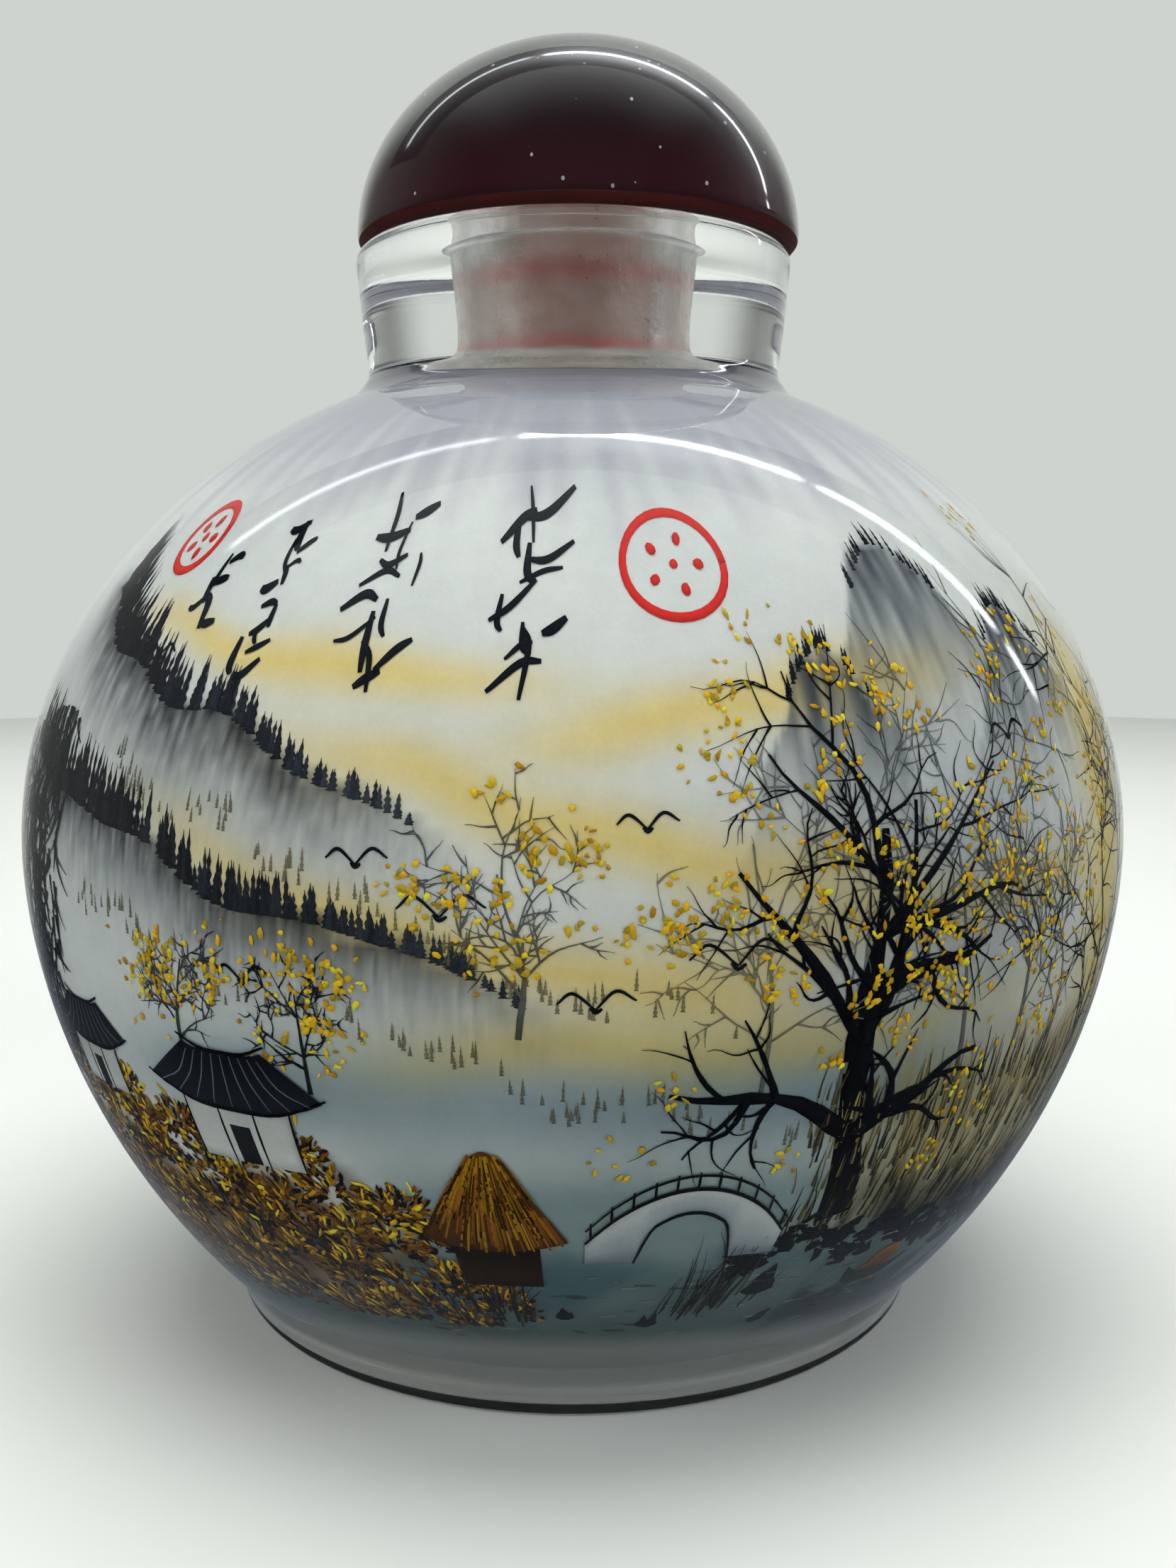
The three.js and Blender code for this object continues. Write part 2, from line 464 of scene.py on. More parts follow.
def bottle_outline(s):
    """The whole section of the glass, from the axis under the foot round the outside, over the lip,
    down the bore and the cavity to the axis on the floor. Also gives the row at which each part ends."""
    foot = np.vstack([
        [[0, 1.3], [8, 1.26]],
        smooth_line([[14.0, 1.16], [16.5, 1.04], [17.2, 0.55], [17.9, 0.0]], 5),
        arc(21.6, 0.4, 0.4, -90, 0, 6),
        smooth_line([[22.0, 0.5], [22.45, 1.8], [22.85, 3.0]], 6),
        arc(22.7, 3.15, 0.2, 10, 70, 4),
    ])
    r, h = bulb(s.body_radius / MM, s.lower_height / MM, 1.85, 23.9, 60)
    lower = np.stack([r, s.widest_z / MM - h], 1)[::-1]
    r, h = bulb(s.body_radius / MM, s.upper_height / MM, 2.0, 13.9, 70)
    upper = np.stack([r, s.widest_z / MM + h], 1)[1:]
    lip = s.lip_z / MM
    neck = smooth_line(
        [[13.35, 56.3], [12.9, 57.0], [12.88, 57.8], [13.1, 59.6], [13.28, 61.4], [13.5, lip - 0.9]], 6
    )
    lip_round = arc(s.neck_radius / MM - 0.9, lip - 0.9, 0.9, 6, 90, 12)
    bore_r = s.bore_radius / MM
    floor_z = WIDEST + CAVITY_UPPER - 0.2
    mouth = arc(bore_r + 0.35, lip - 0.35, 0.35, 90, 180, 6)
    bore = smooth_line(
        [
            [bore_r, lip - 0.5], [bore_r - 0.25, (lip + floor_z) / 2], [bore_r, floor_z + BORE_FLARE],
            [bore_r + 0.8, floor_z + 0.4], [6.7, 54.12]
        ],
        10
    )
    cavity = cavity_line(70)[1:]
    rows = [foot, lower, upper, neck, lip_round, mouth, bore, cavity]
    lengths = np.cumsum([len(p) for p in rows])
    return np.vstack(rows), lengths


class SNUFF_OT_bottle(bpy.types.Operator):
    """The hollow glass bottle: foot, body, collar neck and bore in one"""

    bl_idname = "snuff.bottle"
    bl_label = "Glass bottle"

    def execute(self, context):
        outline, ends = bottle_outline(context.scene.bottle_sizes)
        verts, faces, rows = turned(outline, full_turn(220))
        piece = new_piece(
            "glass_bottle", verts, faces, [clear_glass(), ground_glass(), milky_glass()],
            "bottle", sharp=50
        )
        kind = np.where(rows >= ends[LIP_PART], 1, np.where(rows <= UNDERSIDE_ROWS, 2, 0)).astype(np.int32)
        piece.data.polygons.foreach_set("material_index", kind)
        return {"FINISHED"}


# ---------------------------------------------------------------- the stopper


class SNUFF_OT_cap(bpy.types.Operator):
    """The dark red dome that rests on the lip"""

    bl_idname = "snuff.cap"
    bl_label = "Stopper cap"

    def execute(self, context):
        s = context.scene.stopper_sizes
        radius, height = s.cap_radius / MM, s.cap_height / MM
        r, h = bulb(radius, height - CHAMFER_HEIGHT - AIR_GAP, 2, 0.001, 60)
        r[-1] = 0
        under = [[0, 0], [4.4, 0.0], [9, 0.0], [12.4, 0.0], [12.9, 0.0]]
        chamfer = smooth_line([[13.12, 0.03], [13.45, 0.25], [13.66, 0.5]], 4)
        outline = np.vstack([under, chamfer, np.stack([r, CHAMFER_HEIGHT + h], 1)[1:]])
        outline[:, 1] += CAP_LO.z / MM + AIR_GAP
        centre = ((CAP_LO.x + CAP_HI.x) / 2 / MM, 0)
        verts, faces, rows = turned(outline, full_turn(160), centre)
        dome = self.dome_finish()
        rim = self.rim_finish()
        piece = new_piece(
            "stopper_dome", verts, faces, [dome, rim], "stopper_cap", sharp=40
        )
        piece.data.polygons.foreach_set(
            "material_index", (rows < len(under) + len(chamfer) - 2).astype(np.int32)
        )
        return {"FINISHED"}

    def dome_finish(self):
        """Nearly black glassy red: redder towards the rim, with specks that catch the light."""
        mat, nodes, links, shader = finish("Dark red polish")
        mask = grain(nodes, links, 90, 1800, 1.4)
        red = blend_colours(
            nodes, links, height_mask(nodes, links, CAP_LO.z, CAP_LO.z + 0.006),
            (0.020, 0.0030, 0.0060), (0.0040, 0.0008, 0.0020)
        )
        worn = use_effect(nodes, links, dust_group(), Scale=1100, Size=0.11, Spare=0.55)
        links.new(blend_colours(nodes, links, worn, red, (0.20, 0.19, 0.22)), shader.inputs["Base Color"])
        shader.inputs["IOR"].default_value = 1.5
        links.new(spread(nodes, links, mask, 0.22, 0.40), shader.inputs["Roughness"])
        shader.inputs["Coat Weight"].default_value = 1.0
        shader.inputs["Coat Roughness"].default_value = 0.02
        bump(nodes, links, worn, shader, 0.00002, 0.6)
        return mat

    def rim_finish(self):
        mat, nodes, links, shader = finish("Ground red rim")
        mask = grain(nodes, links, 260, 2600, 1.8)
        links.new(
            blend_colours(nodes, links, mask, (0.020, 0.0020, 0.0018), (0.060, 0.0065, 0.0050)),
            shader.inputs["Base Color"]
        )
        links.new(spread(nodes, links, mask, 0.5, 0.75), shader.inputs["Roughness"])
        shader.inputs["Specular IOR Level"].default_value = 0.12
        return mat


class SNUFF_OT_plug(bpy.types.Operator):
    """The red plug that hangs in the bore"""

    bl_idname = "snuff.plug"
    bl_label = "Stopper plug"

    def execute(self, context):
        s = context.scene.stopper_sizes
        top, tip = s.plug_radius / MM, s.plug_tip / MM
        low, high = PLUG_LO.z / MM, PLUG_HI.z / MM
        side = np.linspace([tip, low + 0.5], [top, high], 14)[1:]
        outline = np.vstack(
            [
                [[0, low], [tip - 1.5, low]], arc(tip - 0.5, low + 0.5, 0.5, -90, 0, 6), side,
                [[2, high], [0, high]]
            ]
        )
        centre = ((PLUG_LO.x + PLUG_HI.x) / 2 / MM, 0)
        verts, faces, rows = turned(outline, full_turn(96), centre)
        mat, nodes, links, shader = finish("Red plug")
        mask = grain(nodes, links, 160, 1500, 2.4)
        stained = blend_colours(nodes, links, mask, (0.20, 0.045, 0.022), (0.42, 0.105, 0.055))
        middle = blend_colours(
            nodes, links, height_mask(nodes, links, low * MM + 0.0002, low * MM + 0.0018),
            (0.72, 0.035, 0.04), stained
        )
        links.new(
            blend_colours(
                nodes, links, height_mask(nodes, links, high * MM - 0.0016, high * MM - 0.0006), middle,
                (0.70, 0.04, 0.045)
            ),
            shader.inputs["Base Color"]
        )
        links.new(spread(nodes, links, mask, 0.35, 0.6), shader.inputs["Roughness"])
        new_piece("red_plug", verts, faces, [mat], "stopper_plug", sharp=50)
        return {"FINISHED"}


# ---------------------------------------------------------------- the picture's wash


def ease(low, high, x):
    """Smooth step from 0 at low to 1 at high."""
    t = np.clip((np.asarray(x, float) - low) / (high - low), 0, 1)
    return t * t * (3 - 2 * t)


def cloud(X, Z, seed, size, stretch=(1.0, 1.0), waves=14):
    """Soft random field round the wall: a sum of sine waves with random directions through the
    cylinder, so it meets itself at the back. stretch makes it longer round the wall or up it."""
    rng = np.random.default_rng(seed)
    a = np.asarray(X, float) / CAVITY_RADIUS
    p = np.stack(
        np.broadcast_arrays(
            CAVITY_RADIUS * np.sin(a) / stretch[0], CAVITY_RADIUS * np.cos(a) / stretch[0],
            np.asarray(Z, float) / stretch[1]
        ),
        -1
    )
    k = rng.normal(size=(waves, 3))
    k *= (2 * math.pi / size * rng.uniform(0.55, 1.7, waves) / np.linalg.norm(k, axis=1))[:, None]
    return np.sin(p @ k.T + rng.uniform(0, 2 * math.pi, waves)).sum(-1) / math.sqrt(waves)


def lay(rgb, tint, mask):
    """Lays a tint over what is there, as strongly as the mask says."""
    rgb += (np.asarray(tint) - rgb) * np.clip(mask, 0, 1)[..., None]


# Mountain crests: (left X, its Z, right X, its Z, how deep the trees fade, strength)
CRESTS = [
    (-31.0, 42.0, -4.0, 32.5, 2.9, 1.0),
    (-34.0, 35.0, 1.0, 26.0, 2.6, 1.0),
    (52.0, 38.0, 84.0, 31.0, 3.0, 0.95),
]
PEAKS = [(19.5, 45.5, 6.5), (27.5, 42.5, 6.0), (13.0, 41.0, 4.6), (-72.0, 42.0, 8.0), (-60.0, 38.0, 6.0)]


def crest_z(crest, X):
    left, left_z, right, right_z = crest[:4]
    t = (X - left) / (right - left)
    return left_z + (right_z - left_z) * t + 0.7 * cloud(X, X * 0 + left_z, 5, 9.0)


def wash(X, Z, c):
    """The picture's broad colours at places on the plan: a stack of soft tints, from the sky down."""
    X, Z = np.broadcast_arrays(np.asarray(X, float), np.asarray(Z, float))
    rgb = np.empty(X.shape + (3,))
    rgb[...] = c["sky"]
    soft = cloud(X, Z, 1, 26, (1.6, 1.0))
    lay(rgb, c["haze"], 0.16 * ease(-0.4, 1.3, soft))
    # haze that thickens towards the neck
    lay(rgb, np.array([0.62, 0.62, 0.68]), 0.65 * ease(45, 52, Z + 1.2 * cloud(X, Z, 2, 5, (0.5, 2.2))))
    # slanting streaks of warm light
    for k, (x, z, half_w, half_h, slope) in enumerate(
        (
            (-14, 40, 13, 1.1, -0.10), (9, 38.5, 12, 1.4, 0.12), (2, 33.0, 16, 1.5, -0.22),
            (-4, 28.0, 17, 1.4, -0.25), (18, 29, 13, 1.3, 0.1), (8, 23.5, 17, 1.5, 0.05),
            (60, 36, 18, 1.6, -0.1), (-70, 33, 16, 1.6, 0.12), (90, 27, 16, 1.6, 0.1)
        )
    ):
        line = z + slope * (X - x) + 0.5 * cloud(X, Z, 30 + k, 14)
        lay(
            rgb, c["ochre"],
            0.85 * np.exp(-(((X - x) / half_w) ** 4)) * np.exp(-(((Z - line) / half_h) ** 2))
        )
    # steep soft peaks that sink into mist
    for k, (x, top, half) in enumerate(PEAKS):
        outline = top - np.abs(
            (X - x + 0.5 * cloud(X, Z, 60 + k, 7)) / half
        ) ** 1.7 * 7.0 + 0.35 * cloud(X, X * 0 + k, 50 + k, 2.2)
        d = outline - Z
        fibre = 0.78 + 0.22 * cloud(X, Z, 70 + k, 1.6, (0.6, 4.0))
        sink = np.exp(-((np.clip(top - Z, 0, None) / 6.0) ** 2))
        lay(rgb, c["ink"] * 0.6 + 0.4 * c["haze"], ease(-0.1, 0.5, d) * sink * fibre)
    # a bank of haze and the warm glow between trees
    lay(
        rgb, c["haze"],
        0.75 * np.exp(-(((X - 20) / 9.5) ** 2)) * np.exp(-(((Z - 27) / 8.5) ** 2)) * (0.85 + 0.15 * soft)
    )
    lay(rgb, c["ochre"], 0.8 * np.exp(-(((X - 34) / 3.0) ** 2)) * ease(14, 24, Z) * (1 - ease(36, 44, Z)))
    # conifer ridges
    for k, crest in enumerate(CRESTS):
        left, _, right, _, depth, strength = crest
        d = crest_z(crest, X) - Z
        ends = ease(left - 5, left, X) * (1 - ease(right - 12, right + 2, X))
        streak = 0.80 + 0.16 * cloud(X, Z, 80 + k, 1.1, (0.45, 3.0)) + 0.10 * cloud(X, Z, 90 + k, 0.8)
        lay(
            rgb, c["ink"],
            strength * ends * ease(-0.1, 0.5, d) * np.exp(-(np.clip(d, 0, None) / depth) ** 1.3) * streak
        )
    # far water and the meadow
    far = np.exp(-(((Z - 20.5) / 2.6) ** 2)) * (0.55 + 0.45 * ease(-1, 1, cloud(X, Z, 3, 22, (2, 1))))
    lay(rgb, c["teal"], 0.85 * far * ease(-30, -12, X) * (1 - ease(16, 26, X)))
    lay(rgb, c["teal"], 0.6 * far * ease(55, 70, np.abs(X)))
    pond = (
        1 - ease(15.5, 19.5, Z + 0.4 * cloud(X, Z, 17, 9, (2, 1)))
    ) * ease(-14, -6, X) * (1 - ease(13, 18, X))
    lay(rgb, c["water"] * 1.08, 0.75 * pond)
    meadow = (1 - ease(19.5, 23.5, Z + 0.6 * cloud(X, Z, 4, 7))) * (
        ease(12, 19, X) * (1 - ease(50, 58, X)) + ease(62, 70, -X) * (1 - ease(88, 94, -X))
    )
    blades = 0.8 + 0.2 * cloud(X, Z, 6, 0.9, (0.4, 6.0))
    lay(rgb, c["grass"], 0.9 * meadow * blades)
    lay(rgb, c["ink"], 0.9 * meadow * ease(0.0, 4.0, 16.0 - Z + 0.8 * cloud(X, Z, 7, 5)) * blades)
    # golden bushes: a warm dark ground for the dabs
    bush = (
        1 - ease(14.0, 16.5, Z + 3.0 * ease(-17, -5, X) + 1.2 * cloud(X, Z, 8, 6))
    ) * (1 - ease(-9, -4, X)) * ease(-50, -44, X)
    lay(rgb, c["brown"] * 0.8, 0.95 * bush * (0.8 + 0.2 * cloud(X, Z, 9, 2.5)))
    lay(rgb, c["ink"], 0.6 * bush * ease(0.1, 1.1, cloud(X, Z, 10, 3.5)))
    # near water, its dark shallows, and the ground below
    near = 1 - ease(11.0, 13.0, Z + 0.5 * cloud(X, Z, 11, 8) + 3.0 * np.exp(-(((X + 24) / 13) ** 4)) * 1.0)
    lay(rgb, c["water"], near * (0.9 + 0.1 * cloud(X, Z, 12, 4, (3, 0.6))))
    lay(rgb, c["teal"], 0.6 * near * ease(0.2, 1.2, cloud(X, Z, 13, 9, (2, 0.7))))
    shore = near * ease(16, 22, X + 1.5 * cloud(X, Z, 18, 3)) * (
        1 - ease(8.6, 9.4, Z + 0.8 * cloud(X, Z, 19, 4))
    )
    lay(rgb, c["ink"] * 0.5 + c["teal"] * 0.5, 0.85 * shore * ease(-60, -52, -X))
    lay(rgb, np.array([0.80, 0.81, 0.80]), 1 - ease(5.5, 7.2, Z))
    return np.clip(rgb, 0.01, 0.97)


def linear(rgb):
    """Display colours to linear light: the usual 2.4 power with its straight toe."""
    return np.where(rgb <= 0.04045, rgb / 12.92, ((rgb + 0.055) / 1.055) ** 2.4)


def set_paint(mesh, rgb):
    own = mesh.attributes.new("paint", "FLOAT_COLOR", "POINT")
    own.data.foreach_set(
        "color", np.concatenate([linear(rgb), np.ones((len(rgb), 1))], 1).astype(np.float32).ravel()
    )


def palette(context):
    p = context.scene.paint_colours
    return {
        k: np.array(getattr(p, k)[:]) for k in (
            "sky", "ochre", "haze", "ink", "teal", "water", "grass", "leaf", "gold", "brown", "seal"
        )
    }


def wall_offset(r, z, lift):
    """Moves a point of the inner wall's outline into the glass, along the wall's normal."""
    step = 0.01
    dr = wall_radius(z + step) - wall_radius(z - step)
    size = np.hypot(dr, 2 * step)
    return r + lift * 2 * step / size, z - lift * dr / size


class SNUFF_OT_wash(bpy.types.Operator):
    """The soft broad colours of the painting, a thin skin on the inner wall"""

    bl_idname = "snuff.wash"
    bl_label = "Painted wash"

    def execute(self, context):
        c = palette(context)
        line = cavity_line(56)[::-1]
        normal = np.gradient(line, axis=0)
        normal = np.stack([normal[:, 1], -normal[:, 0]], 1) / np.hypot(*normal.T)[:, None]
        normal[0] = (0, -1)
        outer, inner = line + 0.06 * normal, (line + 0.02 * normal)[::-1]
        outer[0, 0] = inner[-1, 0] = 0
        keep = np.unique(np.r_[np.arange(0, len(inner), 5), len(inner) - 1])
        outline = np.vstack([outer, inner[keep]])
        half = np.linspace(-100, 100, 480, endpoint=False)
        angles = np.radians(np.r_[half, np.linspace(100, 260, 160, endpoint=False)])
        verts, faces, rows = turned(outline, angles)
        piece = new_piece("painted_wash", verts, faces, [paint("Watercolour wash", 0.07)])
        X = np.arctan2(verts[:, 0], -verts[:, 1]) * CAVITY_RADIUS
        rgb = wash(X, verts[:, 2], c)
        floor = 1 - ease(8, 13, np.hypot(verts[:, 0], verts[:, 1])) * (verts[:, 2] < WIDEST)
        floor *= verts[:, 2] < 12
        lay(rgb, np.array([0.80, 0.81, 0.80]), floor)
        set_paint(piece.data, rgb)
        return {"FINISHED"}


# ---------------------------------------------------------------- brush strokes


def on_wall(X, Z, lift):
    """Carries plan points to the inner wall: the angle is X over the widest radius, the radius is the
    wall's at that height, and lift moves the point along the wall's normal, into the glass."""
    r, z = wall_offset(wall_radius(Z), np.asarray(Z, float), lift)
    a = np.asarray(X, float) / CAVITY_RADIUS
    return np.stack([r * np.sin(a), -r * np.cos(a), z], -1)


def span(x, z):
    """Plan points from their X and Z, either of which may be one number for all."""
    return np.stack(np.broadcast_arrays(x, z), 1)


def per_stroke(rgb):
    """Colours for add: one for each stroke, or one for all."""
    return np.asarray(rgb)[:, None] if np.ndim(rgb) == 2 else rgb


class Brush:
    """Collects flat strokes on the plan and lays them on the wall as one thin closed-sided piece.
    Each stroke lies a hair above the one before it, so that they cover one another as paint does."""

    def __init__(self, lift, seed):
        self.lift, self.rng = lift, np.random.default_rng(seed)
        self.X, self.Z, self.up, self.rgb, self.faces = [], [], [], [], []
        self.count = 0

    def add(self, grid, faces, rgb):
        """grid is (strokes, points, 2); faces index one stroke's points; rgb spreads over the grid."""
        n, m = grid.shape[:2]
        self.X.append(grid[..., 0].ravel())
        self.Z.append(grid[..., 1].ravel())
        self.up.append(np.repeat(self.lift + 0.016 * self.rng.random(n), m))
        self.rgb.append(np.broadcast_to(rgb, (n, m, 3)).reshape(-1, 3))
        base = self.count + m * np.arange(n)
        self.faces += (base[:, None, None] + np.asarray(faces)[None]).reshape(n * len(faces), -1).tolist()
        self.count += n * m

    def ribbons(self, lines, widths, rgb):
        """Strokes along lines of shape (n, m, 2). Each side runs half a width from its line, along the
        line's normal."""
        lines = np.asarray(lines, float)
        n, m = lines.shape[:2]
        way = np.gradient(lines, axis=1)
        way /= np.linalg.norm(way, axis=2, keepdims=True) + 1e-9
        side = np.stack([-way[..., 1], way[..., 0]], -1) * (
            np.clip(np.broadcast_to(widths, (n, m)), 0.02, None) / 2
        )[..., None]
        grid = np.concatenate([lines - side, lines + side], 1)
        i = np.arange(m - 1)
        rgb = np.asarray(rgb, float)
        if rgb.ndim == 3 and rgb.shape[1] == m:
            rgb = np.concatenate([rgb, rgb], 1)
        self.add(grid, np.stack([i, i + 1, m + i + 1, m + i], 1), rgb)

    def dabs(self, x, z, long, short, turn, rgb, sides=6, ragged=0.25):
        """Small touches of the brush: ellipses with an uneven edge, turned by an angle."""
        n = len(x)
        a = np.linspace(0, 2 * math.pi, sides, endpoint=False)[None] + self.rng.uniform(0, 1, (n, 1))
        edge = 1 + ragged * self.rng.uniform(-1, 1, (n, sides))
        u, v = np.cos(a) * edge * (np.zeros(n) + long)[:, None] / 2, np.sin(a) * edge * (
            np.zeros(n) + short
        )[:, None] / 2
        c, s = np.cos(turn)[:, None], np.sin(turn)[:, None]
        grid = np.stack(
            [np.asarray(x)[:, None] + u * c - v * s, np.asarray(z)[:, None] + u * s + v * c], -1
        )
        self.add(grid, [np.arange(sides)], per_stroke(rgb))

    def patch(self, low, high, rows, rgb, tilt=None):
        """A filled shape between a lower and an upper line of as many points, in straight rows."""
        low, high = np.asarray(low, float), np.asarray(high, float)
        m = len(low)
        t = np.linspace(0, 1, rows)[:, None, None]
        grid = (low + (high - low) * t).reshape(1, -1, 2)
        k = (np.arange(rows - 1)[:, None] * m + np.arange(m - 1)).ravel()
        shade = np.asarray(rgb, float)
        if tilt is not None:
            shade = (
                shade + (np.asarray(tilt) - shade) * np.repeat(np.linspace(0, 1, rows), m)[:, None]
            )[None]
        self.add(grid, np.stack([k, k + 1, k + m + 1, k + m], 1), shade)

    def finish(self, name, grain_strength=0.12):
        X, Z = np.concatenate(self.X), np.concatenate(self.Z)
        piece = new_piece(
            name, on_wall(X, Z, np.concatenate(self.up)), self.faces,
            [paint(name + " paint", grain_strength)]
        )
        set_paint(piece.data, np.clip(np.concatenate(self.rgb), 0.008, 0.97))
        thick = piece.modifiers.new("Paint thickness", "SOLIDIFY")
        thick.thickness, thick.offset = 0.005 * MM, -1
        return piece


def tints(rng, n, colours, spread=0.06):
    """n colours picked from a few, each a little lighter or darker."""
    pick = np.asarray(colours)[rng.integers(0, len(colours), n)]
    return np.clip(pick * (1 + rng.uniform(-spread, spread, (n, 1)) * 2), 0, 1)


def spindle(n, rng, teeth=9):
    """Half widths up a fir: a taper that steps in and out between tiers."""
    t = np.linspace(0, 1, teeth)
    return (1 - t) ** 0.75 * np.where(np.arange(teeth) % 2, 0.5, 1.0) * rng.uniform(0.8, 1.2, (n, teeth)), t


def firs(brush, x, base, height, width, rgb):
    n = len(x)
    w, t = spindle(n, brush.rng)
    lean = brush.rng.normal(0, 0.04, (n, 1)) * np.asarray(height)[:, None]
    lines = np.stack(
        [np.asarray(x)[:, None] + lean * t, np.asarray(base)[:, None] + np.asarray(height)[:, None] * t],
        -1
    )
    brush.ribbons(lines, w * (np.zeros(n) + width)[:, None], per_stroke(rgb))


def branches(rng, x, z, angle, length, width, levels, fork=(5, 4, 3), points=9, bend=0.5):
    """Grows a bare tree. Each limb is a line whose heading drifts by a random bend, and its twigs leave
    it on both sides at 25 to 65 degrees, each about half as long. Returns all limbs and their widths."""
    t = np.linspace(0, 1, points)
    limbs, widths = [], []
    queue = [(x, z, angle, length, width, 0)]
    while queue:
        x, z, angle, length, width, level = queue.pop()
        heading = angle + rng.normal(0, bend) * t + rng.normal(0, 0.25) * np.sin(t * math.pi * 2)
        step = length / (points - 1)
        line = np.stack(
            [
                x + np.cumsum(np.cos(heading)) * step - math.cos(heading[0]) * step,
                z + np.cumsum(np.sin(heading)) * step - math.sin(heading[0]) * step
            ],
            1
        )
        limbs.append(line)
        widths.append(width * (1 - 0.78 * t) * (1 + 0.12 * rng.normal(size=points)))
        if level < levels:
            side = rng.choice([-1, 1])
            for k in range(fork[level] + rng.integers(0, 2)):
                at = rng.uniform(0.3 if level == 0 else 0.15, 0.98)
                j = min(int(at * (points - 1)), points - 1)
                side = -side
                queue.append(
                    (
                        *line[j], heading[j] + side * math.radians(rng.uniform(25, 65)),
                        length * rng.uniform(0.38, 0.62), max(width * (1 - 0.75 * at) * 0.66, 0.10),
                        level + 1
                    )
                )
    return np.array(limbs), np.array(widths)


def leaf_clusters(brush, x, z, size, colours, per=9):
    n = len(x)
    rng = brush.rng
    size = (np.zeros(n) + size)[:, None]
    lx = (np.asarray(x)[:, None] + rng.normal(0, 0.36, (n, per)) * size).ravel()
    lz = (np.asarray(z)[:, None] + rng.normal(0, 0.26, (n, per)) * size).ravel()
    brush.dabs(
        lx, lz, rng.uniform(0.22, 0.55, n * per), rng.uniform(0.16, 0.34, n * per),
        rng.uniform(0, math.pi, n * per), tints(rng, n * per, colours, 0.1), 6, 0.35
    )


def grown_tree(
    wood, leaves, c, x, z, height, lean, width, seed, levels=3, tone=1.0, clusters=22, fork=(6, 4, 3),
    bend=0.5
):
    """A bare tree with a few tufts of leaves near the ends of its twigs."""
    rng = np.random.default_rng(seed)
    limbs, widths = branches(rng, x, z, math.pi / 2 + lean, height, width, levels, fork, bend=bend)
    shade = wash(limbs[..., 0], limbs[..., 1], c)
    wood.ribbons(limbs, widths, shade + (c["ink"] - shade) * tone)
    tips = limbs[len(limbs) // 6 :, -1]
    if clusters:
        pick = tips[rng.choice(len(tips), min(clusters, len(tips)), replace=False)]
        leaf_clusters(
            leaves, *pick.T, rng.uniform(1.3, 2.8, len(pick)), [c["leaf"], c["leaf"] * 0.9, c["gold"]]
        )


def blades(brush, x, z, height, width, lean, rgb, points=4):
    """Grass and reeds: narrow strokes that taper upwards and bend over with the square of their height."""
    n = len(x)
    t = np.linspace(0, 1, points)
    lines = np.stack(
        [
            np.asarray(x)[:, None] + np.asarray(lean)[:, None] * t**2,
            np.asarray(z)[:, None] + np.asarray(height)[:, None] * t
        ],
        -1
    )
    brush.ribbons(lines, np.asarray(width).reshape(-1, 1) * (1 - 0.85 * t), per_stroke(rgb))


def line(brush, points, width, rgb, steps=5):
    """One stroke through a few points, as a soft curve that swells in the middle."""
    path = smooth_line(points, steps)
    t = np.linspace(0, 1, len(path))
    brush.ribbons(path[None], width * (0.55 + 0.45 * np.sin(t * math.pi))[None], rgb)


class SNUFF_OT_hills(bpy.types.Operator):
    """Fir ridges and the few pines on the soft peaks"""

    bl_idname = "snuff.hills"
    bl_label = "Fir ridges"

    def execute(self, context):
        c = palette(context)
        brush = Brush(0.085, 11)
        rng = brush.rng
        for crest in CRESTS:
            left, _, right = crest[:3]
            n = int((right - left) * 6.5)
            t = np.sort(rng.random(n)) ** 1.15
            x = left - 2 + t * (right - left - 1)
            high = (2.7 - 2.0 * t) * rng.uniform(0.5, 1.2, n)
            dark = c["ink"] * (1 - t[:, None] * 0.2) + c["haze"] * t[:, None] * 0.32
            firs(
                brush, x, crest_z(crest, x) - 0.6, 1.25 * high, 0.5 + 0.4 * (1 - t),
                dark * rng.uniform(0.8, 1.15, (n, 1))
            )
            # far rows of firs that sink into the mist below the ridge
            m = n // 2
            x = rng.uniform(left + 6, right + 12, m)
            z = crest_z(crest, x) - rng.uniform(4.2, 5.6, m)
            shade = wash(x, z, c)
            firs(
                brush, x, z, rng.uniform(0.5, 1.1, m), 0.24,
                shade + (c["ink"] + c["grass"] - 2 * shade) * 0.32
            )
        for k, (x, top, half) in enumerate(PEAKS):
            px = x + rng.uniform(-0.5, 0.5, 26) * half
            pz = top - np.abs((px - x) / half) ** 1.7 * 7.0 - 0.4
            firs(brush, px, pz, rng.uniform(0.5, 1.2, 26), 0.3, c["ink"] * 0.9 + c["haze"] * 0.12)
        brush.finish("fir_ridges")
        return {"FINISHED"}


